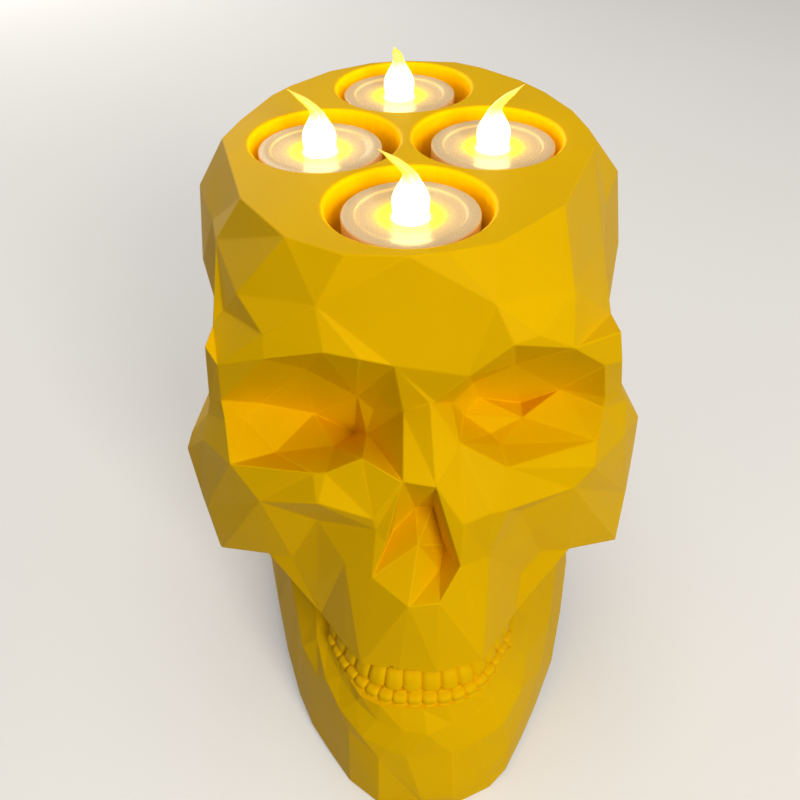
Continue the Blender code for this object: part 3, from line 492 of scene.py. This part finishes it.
@dataclass(frozen=True)
class MouldedPlastic(Finish):
    """Moulded plastic with a fine grain.

    Args:
        grain: grains per metre.
        grain_depth: how deep the grain is.
        coat: share of a clear gloss over it.
    """

    grain: float = 2600.0
    grain_depth: float = 0.01 * MM
    coat: float = 0.0

    def wire(self, wiring: Wiring, shader: bpy.types.Node, effects: Effects) -> None:
        """Wire the grain, its uneven gloss and the clear coat.

        Args:
            wiring: the material's wiring.
            shader: its Principled shader.
            effects: the shared node groups.
        """
        grain = effects.use(wiring, Effect.FINE_GRAIN, {"Scale": self.grain, "Depth": self.grain_depth})
        rough = wiring.remap(grain.outputs["Tone"], 0.3, 0.7, self.roughness - 0.06, self.roughness + 0.06)
        wiring.feed(shader.inputs["Base Color"], self.tinted(wiring, grain.outputs["Drift"], 0.03))
        wiring.feed(shader.inputs["Roughness"], rough)
        wiring.feed(shader.inputs["Normal"], grain.outputs["Normal"])
        shader.inputs["Coat Weight"].default_value = self.coat
        shader.inputs["Coat Roughness"].default_value = 0.12


@dataclass(frozen=True)
class PaintedGlowCup(MouldedPlastic):
    """Ivory cup with the lit flame's light painted on its disc as a glow round the flame.

    Args:
        glow_inner: radius at which the glow is strongest.
        glow_outer: radius at which it has died away.
        glow: emission strength of the painted glow.
        glow_stops: the painted glow's colours from the inner radius to the outer one.
    """

    glow_inner: float = 4.9 * MM
    glow_outer: float = 12.0 * MM
    glow: float = 0.6
    glow_stops: Stops = (
        (0.0, (1.0, 0.90, 0.30)), (0.16, (1.0, 0.85, 0.06)), (0.45, (0.85, 0.62, 0.0)),
        (0.72, (0.20, 0.13, 0.0)), (1.0, (0.0, 0.0, 0.0)))

    def wire(self, wiring: Wiring, shader: bpy.types.Node, effects: Effects) -> None:
        """Wire the moulded plastic, then the painted glow, which also paints a warmer base colour under it as
        painted light.

        Args:
            wiring: the material's wiring.
            shader: its Principled shader.
            effects: the shared node groups.
        """
        super().wire(wiring, shader, effects)
        measure = effects.use(wiring, Effect.RADIAL_SHARE, {"Inner": self.glow_inner, "Outer": self.glow_outer})
        share = measure.outputs["Share"]
        plain = shader.inputs["Base Color"].links[0].from_socket
        # Painted light: round the flame the base colour turns warmer, standing in for the flame's light on the disc.
        painted_warm_light = (self.colour[0], self.colour[1], self.colour[2] * 0.15, 1.0)
        wiring.feed(shader.inputs["Base Color"], wiring.blend(wiring.remap(share, 0.3, 0.9, 1.0, 0.0), plain, painted_warm_light))
        # Painted glow: emission on the disc stands in for the flame's light falling on it.
        wiring.feed(shader.inputs["Emission Color"], wiring.ramp(share, self.glow_stops))
        shader.inputs["Emission Strength"].default_value = self.glow
        shader.inputs["Subsurface Weight"].default_value = 0.25
        shader.inputs["Subsurface Radius"].default_value = (1.0, 0.8, 0.5)
        shader.inputs["Subsurface Scale"].default_value = 1.2 * MM


@dataclass(frozen=True)
class LitFlame(Finish):
    """Milky flame cap, lit from inside: white at the lamp, yellow in the neck and amber at the tip.

    Args:
        low: height of the cap's foot above the tea light's foot.
        high: height of the tip above the tea light's foot.
        strength: emission strength.
        light: the light's colours up the flame.
        body: the base colours up the flame.
    """

    low: float = 14.6 * MM
    high: float = 34.4 * MM
    strength: float = 7.0
    light: Stops = (
        (0.0, (1.0, 0.76, 0.30)), (0.50, (1.0, 0.76, 0.30)), (0.60, (0.43, 0.36, 0.09)),
        (0.70, (0.19, 0.15, 0.007)), (0.80, (0.115, 0.084, 0.001)), (1.0, (0.10, 0.055, 0.001)))
    body: Stops = ((0.0, (0.90, 0.84, 0.62)), (0.6, (0.90, 0.74, 0.22)), (1.0, (0.80, 0.55, 0.12)))

    def wire(self, wiring: Wiring, shader: bpy.types.Node, effects: Effects) -> None:
        """Wire the light and the colour up the flame, both a little uneven.

        Args:
            wiring: the material's wiring.
            shader: its Principled shader.
            effects: the shared node groups.
        """
        share = effects.use(wiring, Effect.HEIGHT_SHARE, {"Low": self.low, "High": self.high}).outputs["Share"]
        grain = effects.use(wiring, Effect.FINE_GRAIN, {"Scale": 900.0, "Waves": 260.0, "Depth": 0.01 * MM})
        uneven = wiring.maths("MULTIPLY", wiring.maths("SUBTRACT", grain.outputs["Drift"], 0.5), 0.05)
        place = wiring.maths("ADD", share, uneven, clamp=True)
        wiring.feed(shader.inputs["Emission Color"], wiring.ramp(place, self.light))
        wiring.feed(shader.inputs["Base Color"], wiring.ramp(place, self.body))
        wiring.feed(shader.inputs["Normal"], grain.outputs["Normal"])
        shader.inputs["Emission Strength"].default_value = self.strength
        shader.inputs["Coat Weight"].default_value = 0.3


@dataclass(frozen=True)
class ClearResin(Finish):
    """Warm clear resin of the lamp, slightly cloudy."""

    def wire(self, wiring: Wiring, shader: bpy.types.Node, effects: Effects) -> None:
        """Wire the cloudy tint and the light that passes through.

        Args:
            wiring: the material's wiring.
            shader: its Principled shader.
            effects: the shared node groups.
        """
        grain = effects.use(wiring, Effect.FINE_GRAIN, {"Scale": 1200.0, "Waves": 300.0, "Depth": 0.004 * MM})
        wiring.feed(shader.inputs["Base Color"], self.tinted(wiring, grain.outputs["Drift"], 0.04))
        wiring.feed(shader.inputs["Normal"], grain.outputs["Normal"])
        shader.inputs["Transmission Weight"].default_value = 0.6


@dataclass(frozen=True)
class BrushedMetal(Finish):
    """Drawn or brushed metal with fine lines.

    Args:
        lines: stretch of the noise along X, Y and Z.
    """

    lines: RGB = (3000.0, 60.0, 3000.0)

    def wire(self, wiring: Wiring, shader: bpy.types.Node, effects: Effects) -> None:
        """Wire the fine lines into colour, gloss and relief.

        Args:
            wiring: the material's wiring.
            shader: its Principled shader.
            effects: the shared node groups.
        """
        place = wiring.add("ShaderNodeTexCoord").outputs["Object"]
        stretch = wiring.add("ShaderNodeMapping", {"Vector": place, "Scale": self.lines})
        brush = wiring.add("ShaderNodeTexNoise", {"Vector": stretch.outputs[0], "Scale": 1.0, "Detail": 3.0})
        bump = wiring.add("ShaderNodeBump", {"Height": brush.outputs["Fac"], "Distance": 0.004 * MM})
        rough = wiring.remap(brush.outputs["Fac"], 0.3, 0.7, self.roughness - 0.08, self.roughness + 0.08)
        wiring.feed(shader.inputs["Base Color"], self.tinted(wiring, brush.outputs["Fac"], 0.06))
        wiring.feed(shader.inputs["Roughness"], rough)
        wiring.feed(shader.inputs["Normal"], bump.outputs["Normal"])
        shader.inputs["Metallic"].default_value = 1.0


@dataclass(frozen=True)
class StudioPaper(Finish):
    """Plain pale paper under and behind the object, which throws little light back onto it.

    Args:
        bounce: colour that light rays from the object meet, linear.
        lift: brightness of its own that the camera sees in it.
    """

    bounce: RGB = (0.07, 0.06, 0.055)
    lift: float = 0.22

    def wire(self, wiring: Wiring, shader: bpy.types.Node, effects: Effects) -> None:
        """Wire the paper's faint grain, and its darker side for bounced light.

        Args:
            wiring: the material's wiring.
            shader: its Principled shader.
            effects: the shared node groups.
        """
        grain = effects.use(wiring, Effect.FINE_GRAIN, {"Scale": 500.0, "Waves": 2.0, "Depth": 0.02 * MM})
        seen = wiring.seen()
        pale = self.tinted(wiring, grain.outputs["Drift"], 0.01)
        wiring.feed(shader.inputs["Base Color"], wiring.blend(seen, (*self.bounce, 1.0), pale))
        wiring.feed(shader.inputs["Emission Color"], wiring.blend(seen, BLACK, pale))
        shader.inputs["Emission Strength"].default_value = self.lift
        wiring.feed(shader.inputs["Normal"], grain.outputs["Normal"])


def light_middles() -> tuple[tuple[float, float], ...]:
    """Find where the four tea lights stand in the CAD.

    Returns:
        Each one's middle in X and Y.
    """
    boxes = [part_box(spot.node("shell")) for spot in Spot]
    return tuple(((low.x + high.x) / 2, (low.y + high.y) / 2) for low, high in boxes)


# The print carries the flames' light painted on its pocket walls as emission.
PRINT = PrintedPlastic("yellow_print", (0.86, 0.50, 0.0), 0.48, painted_glow_middles=light_middles(),
                       painted_glow_top=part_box("skull")[1].z)
# The cup's disc carries the flame's light painted on it as a glow.
CUP = PaintedGlowCup("ivory_cup", (0.74, 0.56, 0.32), 0.30, grain_depth=0.002 * MM, coat=0.15)
WHITE_PLASTIC = MouldedPlastic("white_plastic", (0.80, 0.80, 0.78), 0.5)
BLACK_PLASTIC = MouldedPlastic("black_plastic", (0.02, 0.02, 0.022), 0.45)
FLAME = LitFlame("lit_flame", (0.9, 0.8, 0.5), 0.25)
LAMP_RESIN = ClearResin("lamp_resin", (1.0, 0.86, 0.55), 0.1)
CELL_STEEL = BrushedMetal("cell_steel", (0.62, 0.62, 0.63), 0.28)
CONTACT_BRASS = BrushedMetal("contact_brass", (0.72, 0.55, 0.26), 0.34)
PAPER = StudioPaper("studio_paper", (0.80, 0.79, 0.77), 0.9)


class Palette:
    """Builds each finish once."""

    def __init__(self) -> None:
        """Start with no material made."""
        self._effects = Effects()
        self._made: dict[str, bpy.types.Material] = {}

    def material(self, finish: Finish) -> bpy.types.Material:
        """Give a finish as a material.

        Args:
            finish: the finish.

        Returns:
            Its material, the same one each time.
        """
        if finish.name not in self._made:
            self._made[finish.name] = finish.build(self._effects)
        return self._made[finish.name]

    def dress(self, node: str, finish: Finish) -> None:
        """Give a CAD node a finish in place of its packed one.

        Args:
            node: the node's name.
            finish: the finish.
        """
        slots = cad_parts[node].material_slots
        for slot in slots:
            slot.material = self.material(finish)
        LOG.info("dressed %s", node)


def add_piece(name: str, mesh: bpy.types.Mesh, material: bpy.types.Material, place: Vector) -> bpy.types.Object:
    """Put a mesh into the scene as a piece.

    Args:
        name: the piece's name.
        mesh: its mesh, about its own origin.
        material: its material.
        place: where its origin goes.

    Returns:
        The new object.
    """
    mesh.materials.clear()
    mesh.materials.append(material)
    piece = bpy.data.objects.new(name, mesh)
    bpy.context.scene.collection.objects.link(piece)
    piece.location = place
    LOG.info("piece %s: %d faces", name, len(mesh.polygons))
    return piece


def stack(bm: bmesh.types.BMesh, rings: Sequence[Sequence[Vector]], closed: bool) -> None:
    """Skin rings of equal length with quads.

    Args:
        bm: the mesh to add to.
        rings: points of each ring.
        closed: join the last ring to the first; otherwise both ends get a cap.
    """
    verts = [[bm.verts.new(point) for point in points] for points in rings]
    pairs = list(zip(verts, verts[1:]))
    if closed:
        pairs.append((verts[-1], verts[0]))
    for lower, upper in pairs:
        for i, corner in enumerate(lower):
            j = (i + 1) % len(lower)
            bm.faces.new((corner, lower[j], upper[j], upper[i]))
    if not closed:
        bm.faces.new(verts[0])
        bm.faces.new(verts[-1])


def shares(steps: int) -> list[float]:
    """List the even shares from 0 to 1 in so many steps."""
    return [i / steps for i in range(steps + 1)]


def ring(radius: float, height: float, segments: int, shift: Vector | None = None) -> list[Vector]:
    """Points of a level circle about Z.

    Args:
        radius: its radius.
        height: its height.
        segments: how many points.
        shift: how far its middle lies off the axis.

    Returns:
        The points.
    """
    middle = Vector((0.0, 0.0, height)) + (shift or Vector())
    turns = [2 * math.pi * i / segments for i in range(segments)]
    return [middle + radius * Vector((math.cos(a), math.sin(a), 0.0)) for a in turns]


def finished_mesh(bm: bmesh.types.BMesh, name: str, smooth_degrees: float | None) -> bpy.types.Mesh:
    """Turn a bmesh into a mesh, smooth-shaded with its sharp edges marked.

    Args:
        bm: the bmesh, which is freed.
        name: the mesh's name.
        smooth_degrees: edges sharper than this stay sharp; None keeps each face's own shading.

    Returns:
        The mesh.
    """
    bmesh.ops.recalc_face_normals(bm, faces=bm.faces)
    mesh = bpy.data.meshes.new(name)
    bm.to_mesh(mesh)
    bm.free()
    if smooth_degrees is not None:
        mesh.shade_smooth()
        mesh.set_sharp_from_angle(angle=math.radians(smooth_degrees))
    return mesh


@dataclass(frozen=True)
class DentalArch:
    """The line that a row of teeth follows, seen from above. It is open to the back.

    Args:
        front: how far forward its foremost point lies.
        middle: where its middle lies in X.
        half_width: half its width.
        depth: how far its ends lie behind its foremost point.
        power: how square its corners are.
        fineness: steps along each half in which its length is measured.
    """

    front: float
    middle: float = JAW_MIDDLE
    half_width: float = 29.3 * MM
    depth: float = 23.5 * MM
    power: float = 3.0
    fineness: int = 400

    def point(self, share: float) -> Vector:
        """Place on the line, from -1 at the left end to 1 at the right one.

        Args:
            share: where on the line.

        Returns:
            The place, at height 0.
        """
        return Vector((self.middle + self.half_width * share,
                       self.front + self.depth * abs(share) ** self.power, 0.0))

    def stations(self, count: int) -> list[tuple[Vector, Vector]]:
        """Spread places evenly along the line.

        Args:
            count: how many steps.

        Returns:
            Each place with the direction that looks out of the mouth there.
        """
        fine = [self.point(i / self.fineness - 1.0) for i in range(2 * self.fineness + 1)]
        lengths = [0.0]
        for start, end in zip(fine, fine[1:]):
            lengths.append(lengths[-1] + (end - start).length)
        spread = []
        at = 0
        for i in range(count + 1):
            target = lengths[-1] * i / count
            while at < len(fine) - 2 and lengths[at + 1] < target:
                at += 1
            run = fine[at + 1] - fine[at]
            part = (target - lengths[at]) / run.length
            way = run.normalized()
            spread.append((fine[at] + run * min(1.0, part), Vector((way.y, -way.x, 0.0))))
        return spread


@dataclass
class ToothRow:
    """One row of teeth with rounded crowns, over the plain row of the CAD skull.

    Args:
        name: the row's name.
        palette: where its material comes from.
        arch: the line of its cutting edges.
        count: how many teeth.
        profile: front of a tooth from its neck to its cutting edge: how far behind the arch, then height.
        groove: how deep the grooves between the crowns are.
        corner: how much the cutting edge draws back at a tooth's corners.
        depth: how far back the row reaches.
        steps: sections for each tooth.
    """

    name: str
    palette: Palette
    arch: DentalArch
    count: int
    profile: tuple[tuple[float, float], ...]
    groove: float = 1.1 * MM
    corner: float = 0.5 * MM
    depth: float = 6.0 * MM
    steps: int = 12

    def build(self) -> bpy.types.Object:
        """Make the row.

        Returns:
            The row.
        """
        up = Vector((0.0, 0.0, 1.0))
        neck_height, edge_height = self.profile[0][1], self.profile[-1][1]
        bm = bmesh.new()
        rings = []
        for i, (place, outward) in enumerate(self.arch.stations(self.count * self.steps)):
            across = abs(2.0 * ((i % self.steps) / self.steps) - 1.0)
            dip = self.groove * across ** 4
            section = []
            for inset, height in self.profile:
                share = (height - neck_height) / (edge_height - neck_height)
                drawn = self.corner * across ** 5 * share ** 3
                level = height + (drawn if edge_height < neck_height else -drawn)
                section.append(place - outward * (inset + dip) + up * level)
            for height in (edge_height, neck_height):
                section.append(place - outward * self.depth + up * height)
            rings.append(section)
        stack(bm, rings, closed=False)
        row = add_piece(self.name, finished_mesh(bm, self.name, 50.0), self.palette.material(PRINT), Vector())
        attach(row, HOLDER_BODY)
        return row


@dataclass
class SkullSkin:
    """The printed skull, with the small rounding that a real print has along its creases.

    The plain teeth of the CAD skull are drawn in under the gum, where the finer rows cover them.

    Args:
        palette: where its material comes from.
        rounding: width of the rounding.
        crease_degrees: creases flatter than this stay as they are.
        steadiness: facets slimmer than this many roundings keep sharp edges.
        gum: height of the upper jaw's lower edge.
        seat: height at which the lower teeth stand.
        mouth_front: nothing behind this takes part in the mouth.
        draw_in: how far the plain teeth are drawn in.
        root_height: how far over the gum the teeth's roots reach at most.
        root_reach: how far before or behind the upper jaw they reach at most.
        underside: depth of the step from the gum to the drawn-in teeth.
    """

    palette: Palette
    rounding: float = 0.3 * MM
    crease_degrees: float = 5.0
    steadiness: float = 1.6
    gum: float = 57.5 * MM
    seat: float = 46.5 * MM
    mouth_front: float = -62.0 * MM
    draw_in: float = 2.2 * MM
    root_height: float = 12.0 * MM
    root_reach: float = 3.0 * MM
    underside: float = 0.3 * MM

    def build(self) -> bpy.types.Object:
        """Make the skin and let it stand for the CAD skull.

        Returns:
            The skin.
        """
        bm = bmesh.new()
        bm.from_mesh(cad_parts["skull"].data)
        bmesh.ops.remove_doubles(bm, verts=bm.verts, dist=TOUCHING)
        self._level_gum(bm)
        bmesh.ops.dissolve_limit(bm, angle_limit=math.radians(0.4), verts=bm.verts, edges=bm.edges)
        creases = [edge for edge in bm.edges if self._takes_rounding(edge)]
        made = bmesh.ops.bevel(bm, geom=creases, offset=self.rounding, offset_type="OFFSET", segments=2, profile=0.5,
                               affect="EDGES", clamp_overlap=False, loop_slide=True)
        rounded = set(made["faces"])
        for face in bm.faces:
            face.smooth = face in rounded
        mesh = finished_mesh(bm, "skull_skin", None)
        skin = add_piece("skull_skin", mesh, self.palette.material(PRINT), Vector())
        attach(skin, HOLDER_BODY)
        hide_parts("skull")
        return skin

    def _level_gum(self, bm: bmesh.types.BMesh) -> None:
        """Lay the teeth's roots flush with the upper jaw and draw their crowns in.

        Args:
            bm: the skull's mesh, which is changed.
        """
        jaw = BVHTree.FromPolygons([Vector(corner) * MM for corner in UPPER_JAW_CORNERS], UPPER_JAW_FACETS)
        for height in (self.gum, self.gum - self.underside):
            near = [face for face in bm.faces
                    if all(self._in_mouth(vert.co, self.root_height) for vert in face.verts)]
            edges = dict.fromkeys(edge for face in near for edge in face.edges)
            verts = dict.fromkeys(vert for face in near for vert in face.verts)
            geometry = [*near, *edges, *verts]
            bmesh.ops.bisect_plane(bm, geom=geometry, plane_co=(0.0, 0.0, height), plane_no=(0.0, 0.0, 1.0),
                                   dist=TOUCHING / 10)
        for vert in bm.verts:
            if not self._in_mouth(vert.co, self.root_height):
                continue
            if vert.co.z > self.gum - TOUCHING:
                start = vert.co - Vector((0.0, self.root_reach, 0.0))
                hit = jaw.ray_cast(start, Vector((0.0, 1.0, 0.0)), 2 * self.root_reach)[0]
                if hit is not None and hit.y > vert.co.y:
                    vert.co.y = hit.y
            elif vert.co.z > self.seat + TOUCHING:
                inward = Vector((JAW_MIDDLE, self.mouth_front, 0.0)) - vert.co
                inward.z = 0.0
                vert.co += inward.normalized() * self.draw_in

    def _in_mouth(self, place: Vector, reach: float) -> bool:
        """Tell whether a point lies in the band of the teeth.

        Args:
            place: the point.
            reach: how far over the gum the band goes.

        Returns:
            True if it does.
        """
        return place.y < self.mouth_front and self.seat - TOUCHING < place.z < self.gum + reach

    def _takes_rounding(self, edge: bmesh.types.BMEdge) -> bool:
        """Tell whether an edge is a crease between two facets that are wide enough.

        Args:
            edge: the edge.

        Returns:
            True if it can be rounded cleanly.
        """
        if len(edge.link_faces) != 2 or edge.calc_length() < self.steadiness * self.rounding:
            return False
        if edge.calc_face_angle(0.0) < math.radians(self.crease_degrees):
            return False
        if any(self._in_mouth(vert.co, -TOUCHING) for vert in edge.verts):
            return False
        narrow = min(face.calc_area() / face.calc_perimeter() for face in edge.link_faces)
        return narrow > self.steadiness * self.rounding / 2


@dataclass
class TeaLight:
    """One battery tea light: a fine cup and flame, and the finishes of what they hold.

    Args:
        spot: where it stands.
        palette: where its materials come from.
        rim_width: width of the level ring at the cup's edge.
        step: how far the disc lies under that ring.
        dish: how far the disc falls towards its middle.
        wall: thickness of the cup.
        draft: how much narrower the cup is at its foot.
        bulb_radius: radius of the flame's bulb.
        flame_wall: thickness of the flame's flange.
        flange: how far the flange stands out round the bulb.
        clearance: gap between the flame and the disc's hole.
        bend: share of the flame's height at which its tip starts to lean.
        outline: share of the flame's height, then share of the bulb's radius.
        lean_power: how gently the tip's lean sets in.
        segments: points round the cup.
        flame_segments: points round the flame.
        flame_steps: steps up the flame.
    """

    spot: Spot
    palette: Palette
    rim_width: float = 3.4 * MM
    step: float = 0.6 * MM
    dish: float = 0.6 * MM
    wall: float = 1.2 * MM
    draft: float = 0.4 * MM
    bulb_radius: float = 4.9 * MM
    flame_wall: float = 0.8 * MM
    flange: float = 1.2 * MM
    clearance: float = 0.3 * MM
    bend: float = 0.64
    outline: tuple[tuple[float, float], ...] = (
        (0.0, 0.93), (0.3, 1.0), (0.74, 0.33), (0.84, 0.29), (1.0, 0.05))
    lean_power: float = 1.4
    segments: int = 96
    flame_segments: int = 48
    flame_steps: int = 44

    def build(self) -> None:
        """Make the fine pieces and dress the nodes that stay."""
        low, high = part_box(self.spot.node("shell"))
        self._radius = (high.x - low.x) / 2
        self._height = high.z - low.z
        self._place = Vector(((low.x + high.x) / 2, (low.y + high.y) / 2, low.z))
        self._cup()
        self._flame()
        finishes = {"led": LAMP_RESIN, "chassis": WHITE_PLASTIC, "battery": CELL_STEEL,
                    "upper_contact": CONTACT_BRASS, "side_contact": CONTACT_BRASS,
                    "battery_door": WHITE_PLASTIC, "switch": BLACK_PLASTIC}
        for piece, finish in finishes.items():
            self.palette.dress(self.spot.node(piece), finish)

    def _cup(self) -> None:
        """Ivory cup with a rounded shoulder, a level rim, a soft step and a dished disc."""
        top = self._height
        edge = self.wall / 2
        step = self._radius - self.rim_width
        hole = self.bulb_radius + self.clearance
        disc = top - self.step - self.dish
        shoulder = [(self._radius - edge * (1 - math.cos(a)), top - edge * (1 - math.sin(a)))
                    for a in (math.pi / 2 * share for share in shares(6))]
        slope = [(step - self.step * share, top - self.step * share * share * (3 - 2 * share))
                 for share in shares(5)]
        bowl_start = step - self.step
        bowl = [(bowl_start + (hole - bowl_start) * share, top - self.step - self.dish * share)
                for share in shares(8)[1:]]
        inside = [(hole, disc - self.wall), (step - self.wall, top - self.step - self.wall),
                  (self._radius - self.wall, top - self.wall), (self._radius - self.wall - self.draft, 0.0)]
        profile = [(self._radius - self.draft, 0.0)] + shoulder + slope + bowl + inside
        bm = bmesh.new()
        stack(bm, [ring(radius, height, self.segments) for radius, height in profile], closed=True)
        self._place_piece("cup", "shell", bm, CUP, 28.0)

    def _flame(self) -> None:
        """Flame cap: a flange under the disc, an egg-shaped bulb, a neck and a bent tip."""
        low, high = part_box(self.spot.node("flame"))
        base = low.z - self._place.z
        tip = high.z - self._place.z
        flange_top = base + self.flame_wall
        towards = self._tip_offset()
        rings = [ring(self.bulb_radius + self.flange, height, self.flame_segments) for height in (base, flange_top)]
        for i in range(self.flame_steps + 1):
            share = i / self.flame_steps
            height = flange_top + share * (tip - flange_top)
            lean = towards * self._flame_lean(share)
            rings.append(ring(self._flame_radius(share), height, self.flame_segments, lean))
        bm = bmesh.new()
        stack(bm, rings, closed=False)
        self._place_piece("flame_cap", "flame", bm, FLAME, 50.0)

    def _tip_offset(self) -> Vector:
        """Find how far, and which way, the CAD flame's tip leans off the axis.

        Returns:
            The tip's place off the axis, level.
        """
        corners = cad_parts[self.spot.node("flame")].data.vertices
        highest = max(corner.co.z for corner in corners)
        near_tip = [corner.co for corner in corners if corner.co.z > highest - TOUCHING]
        middle = sum(near_tip, Vector()) / len(near_tip)
        return Vector((middle.x - self._place.x, middle.y - self._place.y, 0.0))

    def _flame_radius(self, share: float) -> float:
        """Radius of the flame at a share of its height, smooth through the outline's points.

        Args:
            share: share of the height.

        Returns:
            The radius.
        """
        for (low, wide), (high, narrow) in zip(self.outline, self.outline[1:]):
            if share <= high:
                break
        step = (share - low) / (high - low)
        return self.bulb_radius * (wide + (narrow - wide) * step * step * (3 - 2 * step))

    def _flame_lean(self, share: float) -> float:
        """Share of the tip's lean at a share of the flame's height.

        Args:
            share: share of the height.

        Returns:
            The share of the lean.
        """
        return max(0.0, (share - self.bend) / (1 - self.bend)) ** self.lean_power

    def _place_piece(self, piece: str, node: str, bm: bmesh.types.BMesh, finish: Finish,
                     smooth_degrees: float) -> None:
        """Add one fine piece that stands for a node.

        Args:
            piece: the piece's name, without the spot.
            node: the node that it stands for, without the spot.
            bm: its shape about the tea light's foot.
            finish: its finish.
            smooth_degrees: edges sharper than this stay sharp.
        """
        name = self.spot.node(piece)
        mesh = finished_mesh(bm, name, smooth_degrees)
        made = add_piece(name, mesh, self.palette.material(finish), self._place)
        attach(made, HOLDER_BODY)
        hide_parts(self.spot.node(node))


@dataclass(frozen=True)
class SoftBox:
    """A square studio light that looks at the skull.

    Args:
        name: its name.
        place: where it hangs.
        size: its width.
        power: in watts.
        colour: its colour, linear.
    """

    name: str
    place: tuple[float, float, float]
    size: float
    power: float
    colour: RGB

    def build(self, aim: Vector) -> None:
        """Hang the light.

        Args:
            aim: the point that it looks at.
        """
        data = bpy.data.lights.new(self.name, "AREA")
        data.size = self.size
        data.energy = self.power
        data.color = self.colour
        light = bpy.data.objects.new(self.name, data)
        bpy.context.scene.collection.objects.link(light)
        light.location = self.place
        light.rotation_euler = (aim - Vector(self.place)).to_track_quat("-Z", "Y").to_euler()
        LOG.info("light %s", self.name)


@dataclass
class Studio:
    """Pale sweep, soft lights, world and camera.

    Args:
        palette: where the paper comes from.
        lights: the studio's lights.
        world: brightness of the even light from all round.
        backdrop: brightness that the camera sees in it.
        aim: the point that the lights look at.
        gap: how far the paper lies under the object.
    """

    palette: Palette
    lights: tuple[SoftBox, ...] = (
        SoftBox("key", (0.42, -0.92, 0.62), 0.4, 7.2, (1.0, 0.97, 0.90)),
        SoftBox("overhead", (0.05, 0.10, 1.15), 0.7, 2.6, (1.0, 0.97, 0.92)),
        SoftBox("behind", (-0.55, 1.00, 0.45), 0.8, 4.0, (1.0, 0.97, 0.92)),
    )
    world: float = 0.30
    backdrop: float = 0.80
    aim: tuple[float, float, float] = (0.0, 0.0, 0.10)
    gap: float = 0.05 * MM

    def build(self) -> None:
        """Set up everything round the object."""
        self._sweep()
        for light in self.lights:
            light.build(Vector(self.aim))
        self._surroundings()
        self._camera()

    def _sweep(self) -> None:
        """Pale paper that lies flat under the object and curves up far behind it."""
        half, front, bend, radius, top = 3.0, -3.0, 1.6, 0.8, 3.0
        curve = [(bend + radius * math.sin(a), radius * (1 - math.cos(a)))
                 for a in (math.pi / 2 * share for share in shares(16))]
        profile = [(front, 0.0)] + curve + [(bend + radius, top)]
        bm = bmesh.new()
        left = [bm.verts.new((-half, y, z)) for y, z in profile]
        right = [bm.verts.new((half, y, z)) for y, z in profile]
        for i in range(len(profile) - 1):
            bm.faces.new((left[i], right[i], right[i + 1], left[i + 1]))
        sweep = add_piece("studio_sweep", finished_mesh(bm, "studio_sweep", 60.0),
                          self.palette.material(PAPER), Vector((0.0, 0.0, -self.gap)))

    def _surroundings(self) -> None:
        """Even light from all round, a pale backdrop in it, and colours shown as they are."""
        world = bpy.data.worlds.new("studio")
        world.use_nodes = True
        background = world.node_tree.nodes["Background"]
        background.inputs["Color"].default_value = (1.0, 0.985, 0.96, 1.0)
        wiring = Wiring(world.node_tree)
        seen = wiring.seen()
        extra = wiring.maths("MULTIPLY", seen, self.backdrop - self.world)
        wiring.feed(background.inputs["Strength"], wiring.maths("ADD", extra, self.world))
        bpy.context.scene.world = world
        bpy.context.scene.view_settings.view_transform = "Standard"

    def _camera(self) -> None:
        """Camera at the photograph's place and angle."""
        data = bpy.data.cameras.new("photo_camera")
        data.sensor_width = SENSOR_WIDTH_MM
        data.lens = FOCAL_LENGTH_PX / PHOTO_WIDTH_PX * SENSOR_WIDTH_MM
        data.clip_start = 0.01
        ahead = Vector((0.0, math.cos(CAMERA_PITCH), -math.sin(CAMERA_PITCH)))
        right = Vector((1.0, 0.0, 0.0))
        up = right.cross(ahead)
        rolled_right = math.cos(CAMERA_ROLL) * right + math.sin(CAMERA_ROLL) * up
        rolled_up = math.cos(CAMERA_ROLL) * up - math.sin(CAMERA_ROLL) * right
        turn = Matrix((rolled_right, rolled_up, -ahead)).transposed().to_4x4()
        turn.translation = CAMERA_PLACE
        camera = bpy.data.objects.new("photo_camera", data)
        bpy.context.scene.collection.objects.link(camera)
        camera.matrix_world = turn
        bpy.context.scene.camera = camera


def teeth(palette: Palette) -> list[ToothRow]:
    """Describe the two rows of teeth.

    Args:
        palette: where their material comes from.

    Returns:
        The upper row and the lower row.
    """
    upper = tuple((inset * MM, height * MM) for inset, height in (
        (4.2, 57.4), (2.8, 56.7), (1.8, 55.7), (1.05, 54.4), (0.55, 53.0), (0.25, 51.7), (0.15, 50.8),
        (0.35, 50.3), (1.0, 50.1)))
    lower = tuple((inset * MM, height * MM) for inset, height in (
        (0.6, 45.8), (0.1, 46.5), (-0.35, 47.2), (-0.5, 48.0), (-0.4, 48.8), (0.0, 49.4), (0.8, 49.8)))
    return [
        ToothRow("upper_teeth", palette, DentalArch(-88.6 * MM), 14, upper),
        ToothRow("lower_teeth", palette, DentalArch(-90.4 * MM), 18, lower, groove=0.8 * MM),
    ]


def main() -> None:
    """Dress the skull and its tea lights, and set up the studio."""
    logging.basicConfig(level=logging.INFO, format="%(name)s: %(message)s")
    palette = Palette()
    SkullSkin(palette).build()
    for row in teeth(palette):
        row.build()
    for spot in Spot:
        TeaLight(spot, palette).build()
    Studio(palette).build()


if __name__ == "__main__":
    main()
